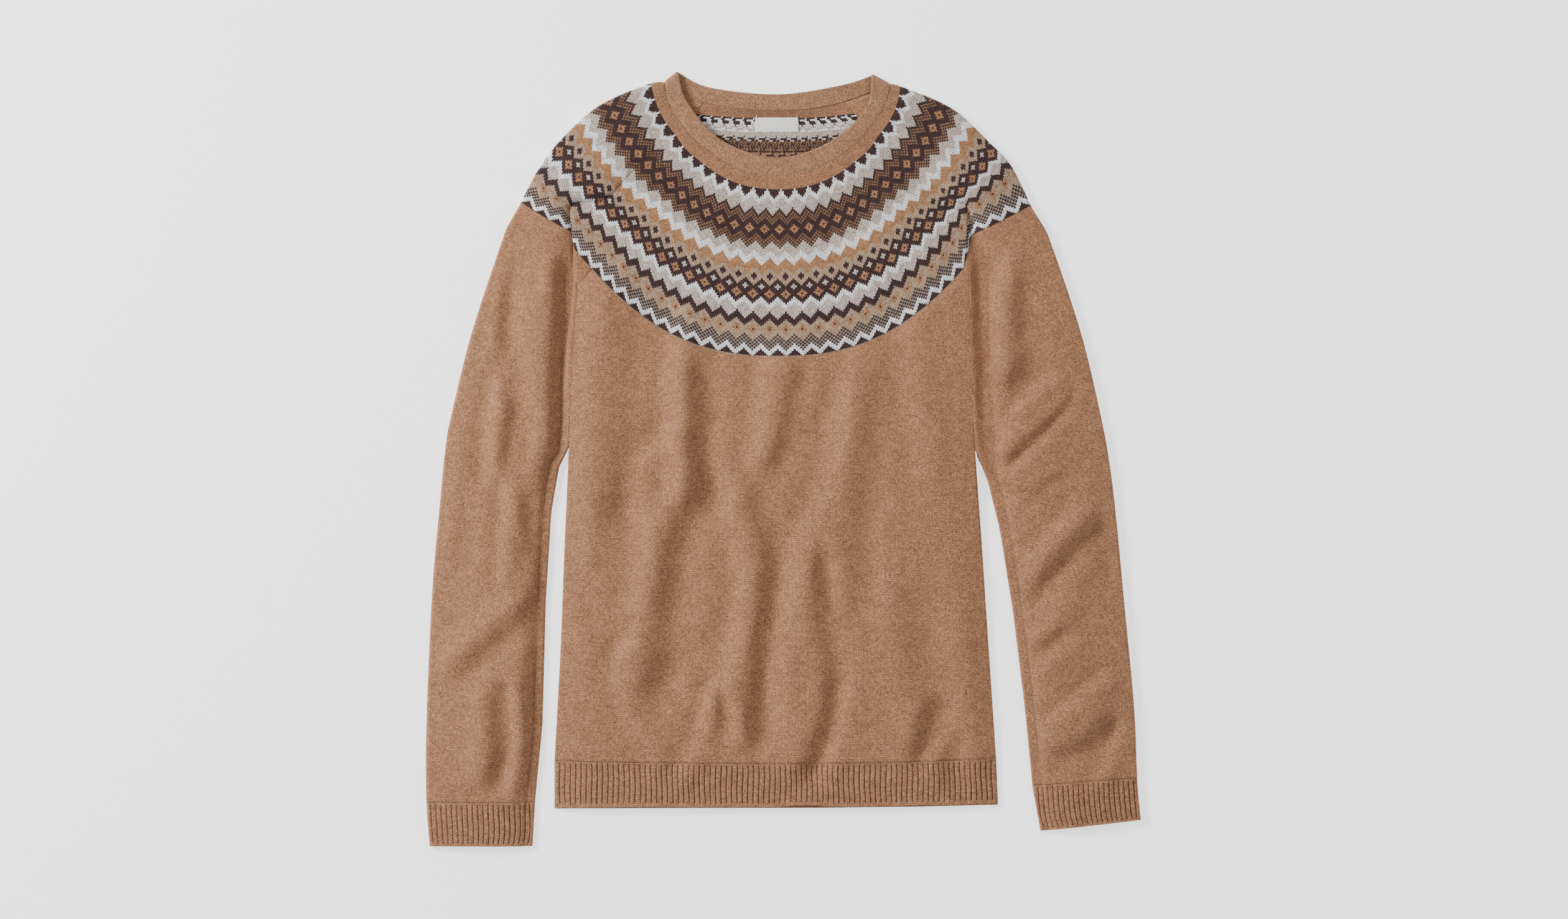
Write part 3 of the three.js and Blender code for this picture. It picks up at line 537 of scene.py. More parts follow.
# %% Fabric
class Fabric:
    """Points, faces, yarns and stitch coordinates of one piece of cloth."""

    def __init__(self):
        self.points, self.stitches, self.raised = [], [], []
        self.faces, self.yarns, self.sides = [], [], []
        self.count = 0

    def put(self, points, stitches, raised=None):
        """Adds points and returns their numbers in the same shape."""
        shape = points.shape[:-1]
        self.points.append(points.reshape(-1, 3))
        self.stitches.append(stitches.reshape(-1, 2))
        raised = np.zeros(points.shape) if raised is None else raised
        self.raised.append(raised.reshape(-1, 3))
        numbers = self.count + np.arange(int(np.prod(shape))).reshape(shape)
        self.count += numbers.size
        return numbers

    def fill(self, numbers, yarns=CAMEL, side=0, turned=False):
        """Fills a grid with four-sided faces."""
        a, b = numbers[:-1, :-1], numbers[1:, :-1]
        c, d = numbers[1:, 1:], numbers[:-1, 1:]
        quads = np.stack([a, b, c, d], -1).reshape(-1, 4)
        self.faces += (quads[:, ::-1] if turned else quads).tolist()
        self.yarns += np.broadcast_to(yarns, a.shape).ravel().tolist()
        self.sides += [side] * len(quads)

    def zip_rows(self, one, other, yarns=CAMEL, side=0, turned=False):
        """Fills between two lines of points that follow the same course.

        yarns may hold one yarn for each step of the first line."""
        yarns = np.broadcast_to(yarns, len(one) - 1)
        points = np.concatenate(self.points)
        lines = [running(points[ids]) for ids in (one, other)]
        p, q = (line / max(line[-1], 1e-9) for line in lines)
        i = j = 0
        while i < len(one) - 1 or j < len(other) - 1:
            if j == len(other) - 1 or (i < len(one) - 1 and p[i + 1] <= q[j + 1]):
                face = [int(one[i]), int(other[j]), int(one[i + 1])]
                i += 1
            else:
                face = [int(one[i]), int(other[j]), int(other[j + 1])]
                j += 1
            self.faces.append(face[::-1] if turned else face)
            self.yarns.append(int(yarns[min(i, len(one) - 2)]))
            self.sides.append(side)

    def mesh(self, name):
        """A Blender mesh, in metres."""
        made = bpy.data.meshes.new(name)
        made.from_pydata((np.concatenate(self.points) * MM).tolist(), [], self.faces)
        sizes = [len(face) for face in self.faces]
        corners = np.concatenate([np.array(face) for face in self.faces])
        colours = made.color_attributes.new("yarn", "FLOAT_COLOR", "CORNER")
        colours.data.foreach_set("color", np.repeat(YARN_COLOURS[self.yarns], sizes, axis=0).ravel())
        layer = made.uv_layers.new(name="stitch")
        layer.data.foreach_set("uv", np.concatenate(self.stitches)[corners].ravel())
        raised = made.attributes.new("raised", "FLOAT_VECTOR", "POINT")
        raised.data.foreach_set("vector", np.concatenate(self.raised).ravel())
        made.polygons.foreach_set("material_index", self.sides)
        made.polygons.foreach_set("use_smooth", [True] * len(self.faces))
        return made


# %% [markdown]
# ## Stitches of the yoke
# A knit stitch is a small V whose two legs stand out from the cloth. Each one
# gets four columns of faces, dipping by half a row in the middle, and takes
# one yarn colour. Where a panel ends, the last stitches are cut on its seam.

# %% Stitch grids
PER_STITCH = 4
BAND_INSET = 0.1  # rows between the edge of a band and its grid, for the strip that joins two
DIP = np.array([0, 0.25, 0.5, 0.25])  # how far a stitch's columns lie below its row
LEG = np.array([0, 1, 0.25, 1])  # how far they stand out


def outwards(grid):
    """Direction out of the cloth at each point of a grid."""
    rows, cols = np.arange(grid.shape[0]), np.arange(grid.shape[1])
    down = grid[np.minimum(rows + 1, rows[-1])] - grid[np.maximum(rows - 1, 0)]
    along = grid[:, np.minimum(cols + 1, cols[-1])] - grid[:, np.maximum(cols - 1, 0)]
    normal = np.cross(down, along)
    length = np.linalg.norm(normal, axis=-1, keepdims=True)
    return normal / np.maximum(length, 1e-9), length[..., 0] > 1e-6


def cut_stitches(panel, repeats, first, last, per_stitch=PER_STITCH, level=False):
    """Points of a band of stitches on one panel, with their stitch and row numbers."""
    scale = 4 * repeats
    rows = np.arange(first, last + 1, dtype=float)
    rows[0] += BAND_INSET
    rows[-1] -= BAND_INSET
    ends = [yoke_round(row)[panel][1][[0, -1]] * scale for row in rows]
    low = math.floor(min(e[0] for e in ends)) - 1
    high = math.ceil(max(e[1] for e in ends)) + 1
    count = (high - low) * per_stitch
    stitch = low - 0.5 + np.arange(count + 1) / per_stitch
    step = PER_STITCH // per_stitch
    dip = DIP[(np.arange(count + 1) * step) % PER_STITCH]
    points = np.empty((len(rows), count + 1, 3))
    cut = np.zeros(points.shape[:2], bool)
    for i, row in enumerate(rows):
        dips = np.zeros(count + 1) if level or i in (0, len(rows) - 1) else dip
        for drop in np.unique(dips):
            line, share = yoke_round(row + drop)[panel]
            here = dips == drop
            for k in range(3):
                points[i, here, k] = np.interp(stitch[here] / scale, share, line[:, k])
        line, share = yoke_round(row)[panel]
        below, above = stitch <= share[0] * scale, stitch >= share[-1] * scale
        points[i, below], points[i, above] = line[0], line[-1]
        cut[i] = below | above
    numbers = np.stack(np.broadcast_arrays(stitch[None, :] + 0.5, rows[:, None]), -1)
    return points, numbers.copy(), cut, low


def band_yarns(letters, low, count, centre, first, mirrored=False, per_stitch=PER_STITCH):
    """Yarn numbers of a band's faces; mirrored counts the stitches the other way."""
    sign = -1 if mirrored else 1
    rows = []
    for i, row_letters in enumerate(letters):
        row = [stitch_yarn(row_letters, sign * (low + k), centre, first + i) for k in range(count)]
        rows.append(np.repeat([YARN_LETTERS.index(letter) for letter in row], per_stitch))
    return np.array(rows)


def knit_yoke(fabric, panel, offset, turned=False, mirrored=False, per_stitch=PER_STITCH):
    """Adds all pattern bands of a panel; returns the outer lines of points."""
    first = -CROWN_ROWS
    top = bottom = None
    sides = [[], []]
    step = PER_STITCH // per_stitch
    for repeats, centre, text in BANDS:
        letters = text.split()
        last = first + len(letters)
        points, numbers, cut, low = cut_stitches(panel, repeats, first, last, per_stitch)
        legs = LEG[(np.arange(points.shape[1]) * step) % PER_STITCH] + np.zeros(points.shape[:2])
        legs[[0, -1]] = 0
        legs[cut] = 0
        outside, direction = offset(points, cut)
        ids = fabric.put(outside, numbers, direction * legs[..., None])
        count = (points.shape[1] - 1) // per_stitch
        yarns = band_yarns(letters, low, count, centre, first, mirrored, per_stitch)
        fabric.fill(ids, yarns, turned=turned)
        if bottom is None:
            top = ids[0]
        else:
            fabric.zip_rows(bottom, ids[0], edge_yarns, turned=turned)
        bottom, edge_yarns = ids[-1], yarns[-1]
        sides[0] += ids[:, 0].tolist()
        sides[1] += ids[:, -1].tolist()
        first = last
    return top, bottom, sides


# %% Plain grids and closing a sheet
def plain_stitches(points, wale=STITCH):
    """Stitch coordinates of a plain grid whose wales run down the panel."""
    return np.stack([points[..., 0] / wale, -points[..., 1] / ROW], -1)


def edges_of(grid, top=None, sides=([], [])):
    """Top, bottom, left and right line of a grid, or of a yoke and the grid below it."""
    left, right = (np.array(sides[k] + grid[:, k].tolist()) for k in (0, -1))
    return grid[0] if top is None else top, grid[-1], left, right


def close_sheet(fabric, outer, inner, turned=False):
    """Joins an outer and an inner face round their four edges: top, bottom, left, right."""
    fabric.zip_rows(inner[0], outer[0], turned=turned)
    fabric.zip_rows(outer[1], inner[1], turned=turned)
    fabric.zip_rows(outer[2], inner[2], turned=turned)
    fabric.zip_rows(inner[3], outer[3], turned=turned)


# %% [markdown]
# ## Wool
# The yarn is carded lambswool: soft, matt and full of fine loose fibres, which
# catch the light at grazing angles (sheen). The camel yarn is a heather, so
# single fibres are lighter and darker than the rest. Between the stitches of
# the pattern the wool lies in V shapes, drawn as bump from the stitch numbers
# in the UV map, so that it follows every panel.

# %% Node helper
def add(tree, kind, settings=None, inputs=None):
    """Adds a node with its settings; an input is a value or the socket it comes from."""
    made = tree.nodes.new(kind)
    for name, value in (settings or {}).items():
        setattr(made, name, value)
    for name, value in (inputs or {}).items():
        if isinstance(value, bpy.types.NodeSocket):
            tree.links.new(value, made.inputs[name])
        else:
            made.inputs[name].default_value = value
    return made


def new_material(name):
    material = bpy.data.materials.new(name)
    material.use_nodes = True
    material.node_tree.nodes.clear()
    return material, material.node_tree


def math_node(tree, operation, a, b=0.0):
    return add(tree, "ShaderNodeMath", {"operation": operation}, {0: a, 1: b}).outputs[0]


def ranged(tree, value, old, new):
    """Maps a value from one range to another."""
    return add(tree, "ShaderNodeMapRange", inputs={
        "Value": value, "From Min": old[0], "From Max": old[1],
        "To Min": new[0], "To Max": new[1]}).outputs[0]


def grain(tree, size, detail, roughness=0.5):
    """Noise fixed to the piece, with grains of a size in millimetres."""
    place = add(tree, "ShaderNodeTexCoord")
    return add(tree, "ShaderNodeTexNoise", inputs={
        "Vector": place.outputs["Object"], "Scale": 1 / (size * MM), "Detail": detail,
        "Roughness": roughness})


def matt_surface(tree, colour, roughness, height, strength, depth, more=None):
    """Ends a material in one matt shader with a bump of a depth in millimetres."""
    bump = add(tree, "ShaderNodeBump", inputs={
        "Height": height, "Strength": strength, "Distance": depth * MM})
    shader = add(tree, "ShaderNodeBsdfPrincipled", inputs={
        "Base Color": colour, "Roughness": roughness, "Normal": bump.outputs[0], **(more or {})})
    add(tree, "ShaderNodeOutputMaterial", inputs={"Surface": shader.outputs[0]})


# %% Wool materials
STITCH_DEPTH = 0.35


def loose_stitches(tree):
    """Stitch numbers that waver a little, because no two stitches are quite alike."""
    uv = add(tree, "ShaderNodeUVMap", {"uv_map": "stitch"})
    waver = grain(tree, 4, 1.0)
    centred = add(tree, "ShaderNodeVectorMath", {"operation": "SUBTRACT"}, {
        0: waver.outputs["Color"], 1: (0.5, 0.5, 0.5)})
    small = add(tree, "ShaderNodeVectorMath", {"operation": "SCALE"}, {
        0: centred.outputs[0], "Scale": 0.7})
    return add(tree, "ShaderNodeVectorMath", {"operation": "ADD"}, {
        0: uv.outputs[0], 1: small.outputs[0]}).outputs[0]


def stitch_bump(tree, inside):
    """Height of the yarn from the stitch numbers."""
    split = add(tree, "ShaderNodeSeparateXYZ", inputs={0: loose_stitches(tree)})
    across = math_node(tree, "FRACT", split.outputs["X"])
    from_middle = math_node(tree, "ABSOLUTE", math_node(tree, "SUBTRACT", across, 0.5))
    if inside:
        # Floats and purl bumps lie level, one to a row.
        down = math_node(tree, "FRACT", split.outputs["Y"])
        turn = math_node(tree, "MULTIPLY", down, math.pi)
        return math_node(tree, "SINE", turn)
    lower = math_node(tree, "SUBTRACT", 0.5, from_middle)
    dip = math_node(tree, "SUBTRACT", split.outputs["Y"], lower)
    down = math_node(tree, "MULTIPLY", math_node(tree, "FRACT", dip), math.pi)
    row = math_node(tree, "POWER", math_node(tree, "SINE", down), 0.5)
    leg = math_node(tree, "SINE", math_node(tree, "MULTIPLY", from_middle, 2 * math.pi))
    leg = math_node(tree, "POWER", math_node(tree, "ABSOLUTE", leg), 0.6)
    return math_node(tree, "MULTIPLY", row, leg)


def stitch_shade(tree):
    """A shade for each stitch, since the yarn varies along its length."""
    uv = add(tree, "ShaderNodeUVMap", {"uv_map": "stitch"})
    whole = add(tree, "ShaderNodeVectorMath", {"operation": "FLOOR"}, {0: uv.outputs[0]})
    chance = add(tree, "ShaderNodeTexWhiteNoise", {"noise_dimensions": "2D"}, {
        "Vector": whole.outputs[0]})
    return ranged(tree, chance.outputs["Value"], (0, 1), (0.8, 1.2))


def wool(name, inside=False):
    material, tree = new_material(name)
    yarn = add(tree, "ShaderNodeAttribute", {"attribute_name": "yarn"})
    # Heather: tufts of fibre about 1 mm across, and clouds of 12 mm from uneven carding.
    fibres = grain(tree, 0.9, 2.0, 0.7)
    clouds = grain(tree, 12, 1.0)
    height = stitch_bump(tree, inside)
    tone = math_node(tree, "MULTIPLY", ranged(tree, fibres.outputs["Fac"], (0.3, 0.7), (0.4, 1.6)),
                     ranged(tree, clouds.outputs["Fac"], (0.3, 0.7), (0.93, 1.07)))
    tone = math_node(tree, "MULTIPLY", tone, stitch_shade(tree))
    # Painted shade: the gaps between the legs are deeper, and their colour is darkened there as shade; the
    # raised legs are lightened a little, a painted highlight.
    tone = math_node(tree, "MULTIPLY", tone, ranged(tree, height, (0, 0.8), (0.45, 1.17)))
    colour = add(tree, "ShaderNodeVectorMath", {"operation": "SCALE"}, {
        0: yarn.outputs["Color"], "Scale": tone})
    rough = math_node(tree, "ADD", height, math_node(tree, "MULTIPLY", fibres.outputs["Fac"], 1.2))
    matt_surface(tree, colour.outputs[0], 0.92, rough, 1.0, STITCH_DEPTH, {
        "Specular IOR Level": 0.2, "Sheen Weight": 0.12, "Sheen Roughness": 0.5})
    return material


WOOL = wool("lambswool_knit")
WOOL_INSIDE = wool("lambswool_inside", inside=True)
print("wool:", WOOL.name, WOOL_INSIDE.name)

# %% [markdown]
# ## Raising the yarn
# Stitch legs and ribs are the same thing at two sizes: yarn that stands out of
# the cloth. One Geometry Nodes tree raises both. It reads the direction stored
# at each point, multiplies it by a height, and adds a little unevenness with a
# fixed seed, because hand-finished wool is never quite regular.

# %% Geometry Nodes: raise the yarn
def new_tree(name, inputs):
    tree = bpy.data.node_groups.new(name, "GeometryNodeTree")
    tree.interface.new_socket("Geometry", in_out="INPUT", socket_type="NodeSocketGeometry")
    for label, kind, value in inputs:
        socket = tree.interface.new_socket(label, in_out="INPUT", socket_type=kind)
        if value is not None:
            socket.default_value = value
    tree.interface.new_socket("Geometry", in_out="OUTPUT", socket_type="NodeSocketGeometry")
    return tree, add(tree, "NodeGroupInput")


def finish_tree(tree, group, geometry, only_outer=False):
    """Ends a tree in Realize Instances and Set Material, on all faces or the outer ones."""
    real = add(tree, "GeometryNodeRealizeInstances", inputs={"Geometry": geometry})
    inputs = {"Geometry": real.outputs[0], "Material": group.outputs["Material"]}
    if only_outer:
        index = add(tree, "GeometryNodeInputMaterialIndex")
        outer = add(tree, "FunctionNodeCompare", {"data_type": "INT", "operation": "EQUAL"}, {
            "A": index.outputs[0], "B": 0})
        inputs["Selection"] = outer.outputs[0]
    last = add(tree, "GeometryNodeSetMaterial", inputs=inputs)
    add(tree, "NodeGroupOutput", inputs={"Geometry": last.outputs[0]})


def identifier(tree, label):
    for item in tree.interface.items_tree:
        if item.item_type == "SOCKET" and item.in_out == "INPUT" and item.name == label:
            return item.identifier
    raise KeyError(label)


def raise_yarn_tree():
    tree, group = new_tree("raise_yarn", [
        ("Height", "NodeSocketFloat", 0.0003), ("Unevenness", "NodeSocketFloat", 0.3),
        ("Seed", "NodeSocketFloat", 7.0), ("Material", "NodeSocketMaterial", None)])
    raised = add(tree, "GeometryNodeInputNamedAttribute", {"data_type": "FLOAT_VECTOR"}, {
        "Name": "raised"})
    noise = add(tree, "ShaderNodeTexNoise", {"noise_dimensions": "4D"}, {
        "Scale": 1 / 0.004, "W": group.outputs["Seed"]})
    centred = math_node(tree, "SUBTRACT", noise.outputs["Fac"], 0.5)
    uneven = math_node(tree, "MULTIPLY", centred, group.outputs["Unevenness"])
    height = math_node(tree, "MULTIPLY", math_node(tree, "ADD", uneven, 1.0), group.outputs["Height"])
    offset = add(tree, "ShaderNodeVectorMath", {"operation": "SCALE"}, {
        0: raised.outputs["Attribute"], "Scale": height})
    moved = add(tree, "GeometryNodeSetPosition", inputs={
        "Geometry": group.outputs["Geometry"], "Offset": offset.outputs[0]})
    finish_tree(tree, group, moved.outputs[0], only_outer=True)
    return tree


RAISE_YARN = raise_yarn_tree()


def grown(obj, tree, values):
    """Runs a tree on an object and keeps the result as its plain mesh."""
    modifier = obj.modifiers.new(tree.name, "NODES")
    modifier.node_group = tree
    for label, value in values.items():
        modifier[identifier(tree, label)] = value
    bpy.context.view_layer.update()
    graph = bpy.context.evaluated_depsgraph_get()
    result = bpy.data.meshes.new_from_object(
        obj.evaluated_get(graph), preserve_all_data_layers=True, depsgraph=graph)
    obj.modifiers.remove(modifier)
    old, obj.data = obj.data, result
    bpy.data.meshes.remove(old)
    return obj


def new_object(name, mesh, materials):
    obj = bpy.data.objects.new(name, mesh)
    bpy.context.scene.collection.objects.link(obj)
    for material in materials:
        mesh.materials.append(material)
    return obj


def weld(obj):
    """Merges points that share a place, and drops faces that they leave empty."""
    work = bmesh.new()
    work.from_mesh(obj.data)
    bmesh.ops.remove_doubles(work, verts=work.verts, dist=2e-6)
    loose = [v for v in work.verts if not v.link_faces]
    bmesh.ops.delete(work, geom=loose, context="VERTS")
    work.to_mesh(obj.data)
    work.free()


def sewn_piece(name, fabric, node, height, unevenness=0.3):
    obj = new_object(name, fabric.mesh(name), [WOOL, WOOL_INSIDE])
    weld(obj)
    grown(obj, RAISE_YARN, {
        "Height": height * MM, "Unevenness": unevenness, "Seed": 7.0, "Material": WOOL})
    obj.data.name = name
    if "raised" in obj.data.attributes:
        obj.data.attributes.remove(obj.data.attributes["raised"])
    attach(obj, "root")
    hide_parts(node)
    obj.data.calc_loop_triangles()
    print(name, len(obj.data.loop_triangles), "triangles")
    return obj


# %% [markdown]
# ## Front
# The front hangs between two raglan seams and two side seams. Its outer face
# is a height over the table, so it is offset straight up. Below the armpit the
# edge of the cloth turns down, where the body folds round to the back.

# %% Front panel
TURN = 2.2  # radius of the turned side edge
TURN_DEPTH = 1.9
TURN_FROM = 4.6  # the front's row where its edge starts to turn down
FINE_COURSE = 3.2  # distance of the courses of the outer face
COARSE_COURSE = 12  # and of the inner face, which is hidden


def edge_drop(inward, amount):
    """How far the outer face turns down near a folded edge."""
    near = np.clip(1 - inward / TURN, 0, 1)
    return amount * TURN_DEPTH * (1 - np.sqrt(1 - near**2))


def straight_up(points, cut):
    up = np.zeros(points.shape)
    up[..., 2] = 1
    return points + up * WALL / 2, up


def even_places(column, first, last, step):
    """Table places about step apart, for a column that falls evenly."""
    count = max(2, round(abs(column[last] - column[first]) / step))
    heights = np.linspace(column[first], column[last], count + 1)
    return np.interp(-heights, -column, np.arange(len(column)))


def plain_front(places, across):
    """Outer face of the front below its yoke."""
    outer = front_surface(places[:, None], across[None, :])
    ends = np.where(across < 0, outer[:, :1, 0], outer[:, -1:, 0])
    inward = np.abs(ends) - np.abs(outer[..., 0])
    amount = np.clip(places - TURN_FROM, 0, 1)[:, None]
    outer[..., 2] += WALL / 2 - edge_drop(inward, amount)
    return outer


def edge_shares(count, width):
    """Shares across a panel, with extra columns where its edges turn down."""
    body = np.linspace(-1, 1, count + 1)[1:-1]
    turn = 1 - np.array([0, 0.15, 0.4, 0.8, 1.3, 1.9, 2.4]) / width
    return np.concatenate([-turn, body[np.abs(body) < turn[-1]], turn[::-1]])


def make_front():
    fabric = Fabric()
    top, bottom, sides = knit_yoke(fabric, "front", straight_up)
    places = even_places(FRONT["centre"], 2, HEM_ROW, FINE_COURSE)
    places[0] = centre_place(YOKE_ROWS + 0.5)
    outer = plain_front(places, edge_shares(150, 190.0))
    ids = fabric.put(outer, plain_stitches(outer))
    fabric.fill(ids)
    fabric.zip_rows(bottom, ids[0], YARN_LETTERS.index("M"))
    inner_places = np.concatenate([
        np.linspace(centre_place(BAND_INSET - CROWN_ROWS), 2, 14)[:-1],
        even_places(FRONT["centre"], 2, HEM_ROW, COARSE_COURSE)])
    under = front_surface(inner_places[:, None], np.linspace(-1, 1, 41)[None, :])
    under[..., 2] -= WALL / 2
    inner = fabric.put(under, plain_stitches(under))
    fabric.fill(inner, side=1, turned=True)
    close_sheet(fabric, edges_of(ids, top, sides), edges_of(inner))
    return sewn_piece("knit_front", fabric, "front", 0.3)


front = make_front()

# %% [markdown]
# ## Back
# The back lies flat on the table. From above only its inside shows, in the
# neck hole: there the yarn that a stitch doesn't use floats behind it, so each
# row shows the other colour of the row, in level dashes.

# %% Back panel
def straight_down(points, cut):
    down = np.zeros(points.shape)
    down[..., 2] = -1
    return points + down * WALL / 2, down


def half_rows(grid):
    """A grid with a line of points added between each two."""
    fine = np.empty((2 * len(grid) - 1, *grid.shape[1:]))
    fine[::2] = grid
    fine[1::2] = (grid[1:] + grid[:-1]) / 2
    return fine


def inside_yarns(yarns):
    """Rows show purl bumps of their own yarns and floats of the other ones in turn."""
    shown = yarns.copy()
    for i, row in enumerate(yarns):
        kinds, counts = np.unique(row, return_counts=True)
        order = kinds[np.argsort(-counts)]
        if i % 2 and len(order) > 1:
            shown[i] = np.roll(np.where(row == order[0], order[1], order[0]), 3 * i)
    return np.repeat(shown, 2, axis=0)


SEEN_ROWS = 33  # the neck hole shows the inside of the back yoke down to this row


def knit_inside(fabric):
    """Inside of the back yoke, with its floats where the neck hole shows them."""
    first, bottom, top = -CROWN_ROWS, None, None
    sides = [[], []]
    for repeats, centre, text in BANDS:
        letters = text.split()
        last = first + len(letters)
        points, numbers, _, low = cut_stitches("back", repeats, first, last, 2, level=True)
        points[..., 2] += WALL / 2
        numbers = numbers * (1, 2)
        count = (points.shape[1] - 1) // 2
        yarns = band_yarns(letters, low, count, centre, first, True, 2)
        if first < SEEN_ROWS:
            points, numbers, yarns = half_rows(points), half_rows(numbers), inside_yarns(yarns)
        ids = fabric.put(points, numbers)
        fabric.fill(ids, yarns, side=1)
        if bottom is None:
            top = ids[0]
        else:
            fabric.zip_rows(bottom, ids[0], edge_yarns, side=1)
        bottom, edge_yarns = ids[-1], yarns[-1]
        sides[0] += ids[:, 0].tolist()
        sides[1] += ids[:, -1].tolist()
        first = last
    return top, bottom, sides


def plain_back(fabric, places, across, side, turned):
    points = back_surface(places[:, None], across[None, :])
    points[..., 2] += WALL / 2 if side else -WALL / 2
    ids = fabric.put(points, plain_stitches(points))
    fabric.fill(ids, side=side, turned=turned)
    return ids


def make_back():
    fabric = Fabric()
    across = np.linspace(-1, 1, 61)
    outer = knit_yoke(fabric, "back", straight_down, turned=True, mirrored=True, per_stitch=2)
    places = even_places(BACK["centre"], 1, BACK_HEM_ROW, 8)
    below = plain_back(fabric, places, across, 0, True)
    fabric.zip_rows(outer[1], below[0], turned=True)
    inner = knit_inside(fabric)
    above = plain_back(fabric, places, across, 1, False)
    fabric.zip_rows(inner[1], above[0], side=1)
    close_sheet(fabric, edges_of(above, inner[0], inner[2]), edges_of(below, outer[0], outer[2]))
    return sewn_piece("knit_back", fabric, "back", 0.12)


# %% [markdown]
# ## Floor
# The photograph shows the jumper on plain white. The floor is made before the back.

# %% Floor
def floor_material():
    """Matt white paper, bright enough that only a soft contact shadow shows on it."""
    material, tree = new_material("white_paper")
    fibres = grain(tree, 2.5, 3.0)
    matt_surface(tree, linear("#F8F8F8"), 0.9, fibres.outputs["Fac"], 0.05, 0.5, {
        "Emission Color": (1, 1, 1, 1), "Emission Strength": 1.3})
    return material


def make_floor():
    size = 4.0
    mesh = bpy.data.meshes.new("table")
    corners = [(-size, -size, 0), (size, -size, 0), (size, size, 0), (-size, size, 0)]
    mesh.from_pydata(corners, [], [(0, 1, 2, 3)])
    floor = new_object("table", mesh, [floor_material()])
    return floor


floor = make_floor()
back = make_back()

# %% [markdown]
# ## Sleeves
# A sleeve is one sheet that runs from its front seam round to its back seam.
# Its upper part carries the yoke. Lower down it is plain, with its wales
# running along the arm.

# %% Sleeve panels
SLEEVE_COURSE = 3.4
SLEEVE_TURN_FROM = 8.6


def round_sleeve(points, cut):
    """Outer face of a sleeve; its seam edges are offset straight up or down."""
    normal, good = outwards(points)
    sign = 1 if points[:, -1, 0].mean() > 0 else -1
    normal = normal * sign
    flat = np.zeros(points.shape)
    flat[..., 2] = np.where(points[..., 2] > BACK_Z + 0.5, 1, -1)
    normal = np.where((good & ~cut)[..., None], normal, flat)
    return points + normal * WALL / 2, normal


def sleeve_grid(side, places):
    grid = np.array([sleeve_course(side, at) for at in places])
    edges = np.zeros(grid.shape[:2], bool)
    edges[:, [0, -1]] = True
    return grid, edges


def sleeve_places(side, first, last, step):
    """Table places about step apart along the middle of the sleeve."""
    rows = SLEEVES[side]
    middle = np.column_stack([(rows["foot_" + k] + rows["out_" + k]) / 2 for k in "xy"])
    along = running(middle)
    count = max(2, round((along[last] - along[first]) / step))
    steps = np.linspace(along[first], along[last], count + 1)
    return np.interp(steps, along, np.arange(len(along)))


def sleeve_stitches(grid):
    """Stitch numbers: wales count from the middle of the section, rows along it."""
    rows = []
    down = running(grid[:, FOLD_INDEX // 2])
    for i, line in enumerate(grid):
        arc = running(line)
        wales = (arc - arc[FOLD_INDEX] / 2) / STITCH
        rows.append(np.stack([wales, np.full(len(arc), down[i] / ROW)], -1))
    return np.array(rows)


def make_sleeve(side):
    fabric = Fabric()
    turned = side == "left"
    top, bottom, sides = knit_yoke(fabric, side, round_sleeve, turned=turned, mirrored=turned)
    places = sleeve_places(side, YOKE_END, CUFF_ROW, SLEEVE_COURSE)
    grid, edges = sleeve_grid(side, places)
    numbers = sleeve_stitches(grid)
    outer, _ = round_sleeve(grid, edges)
    inward = np.linalg.norm(grid - grid[:, :1], axis=-1)
    amount = np.clip(places - SLEEVE_TURN_FROM, 0, 1)[:, None]
    outer[..., 2] -= edge_drop(inward, amount) * (np.arange(grid.shape[1]) < FOLD_INDEX // 2)
    ids = fabric.put(outer, numbers)
    fabric.fill(ids, turned=turned)
    fabric.zip_rows(bottom, ids[0], turned=turned)

    rows = SLEEVES[side]
    yoke_top = np.interp(straight(FRONT[side + "_x"], centre_place(BAND_INSET - CROWN_ROWS)),
                         rows["in_x"][: YOKE_END + 1], np.arange(YOKE_END + 1))
    inner_places = np.concatenate([np.linspace(yoke_top, YOKE_END, 14)[:-1],
                                   sleeve_places(side, YOKE_END, CUFF_ROW, COARSE_COURSE)])
    grid, edges = sleeve_grid(side, inner_places)
    _, normal = round_sleeve(grid, edges)
    under = grid - normal * WALL / 2
    inner = fabric.put(under, sleeve_stitches(grid))
    fabric.fill(inner, side=1, turned=not turned)
    close_sheet(fabric, edges_of(ids, top, sides), edges_of(inner), turned=turned)
    return sewn_piece(f"knit_sleeve_{side}", fabric, f"sleeve_{side}", 0.3)


sleeves = [make_sleeve(side) for side in ("left", "right")]

# %% [markdown]
# ## Ribs of the hem and cuffs
# The bands are ribbed: broad rounded ridges with narrow grooves. Each rib gets
# eight columns, and the same tree that raised the stitches sinks the grooves.

# %% Rib profile
PER_RIB = 8
RIB_HEIGHT = 1.0
HEM_WALE = 2.38
CUFF_WALE = 2.1
UNDER_RIBS = 19  # ribs on the under side of a cuff
RIB_ROWS = np.array([0, 0.02, 0.06, 0.14, 0.25, 0.37, 0.5, 0.62, 0.74, 0.84, 0.9, 0.94, 0.98, 1])
SMOOTH_EDGE = 0.91  # below this the band is a smooth tube without grooves


def rib_profile(count, rows):
    """How far the points of a ribbed band lie below the crowns of the ribs."""
    place = (np.arange(count) % PER_RIB) / PER_RIB
    ridge = 1 - np.abs(2 * place - 1) ** 6
    start = np.clip(rows / 0.05, 0, 1)
    grooves = np.where(rows > SMOOTH_EDGE, 0.15, start)
    return grooves[:, None] * (ridge - 1)


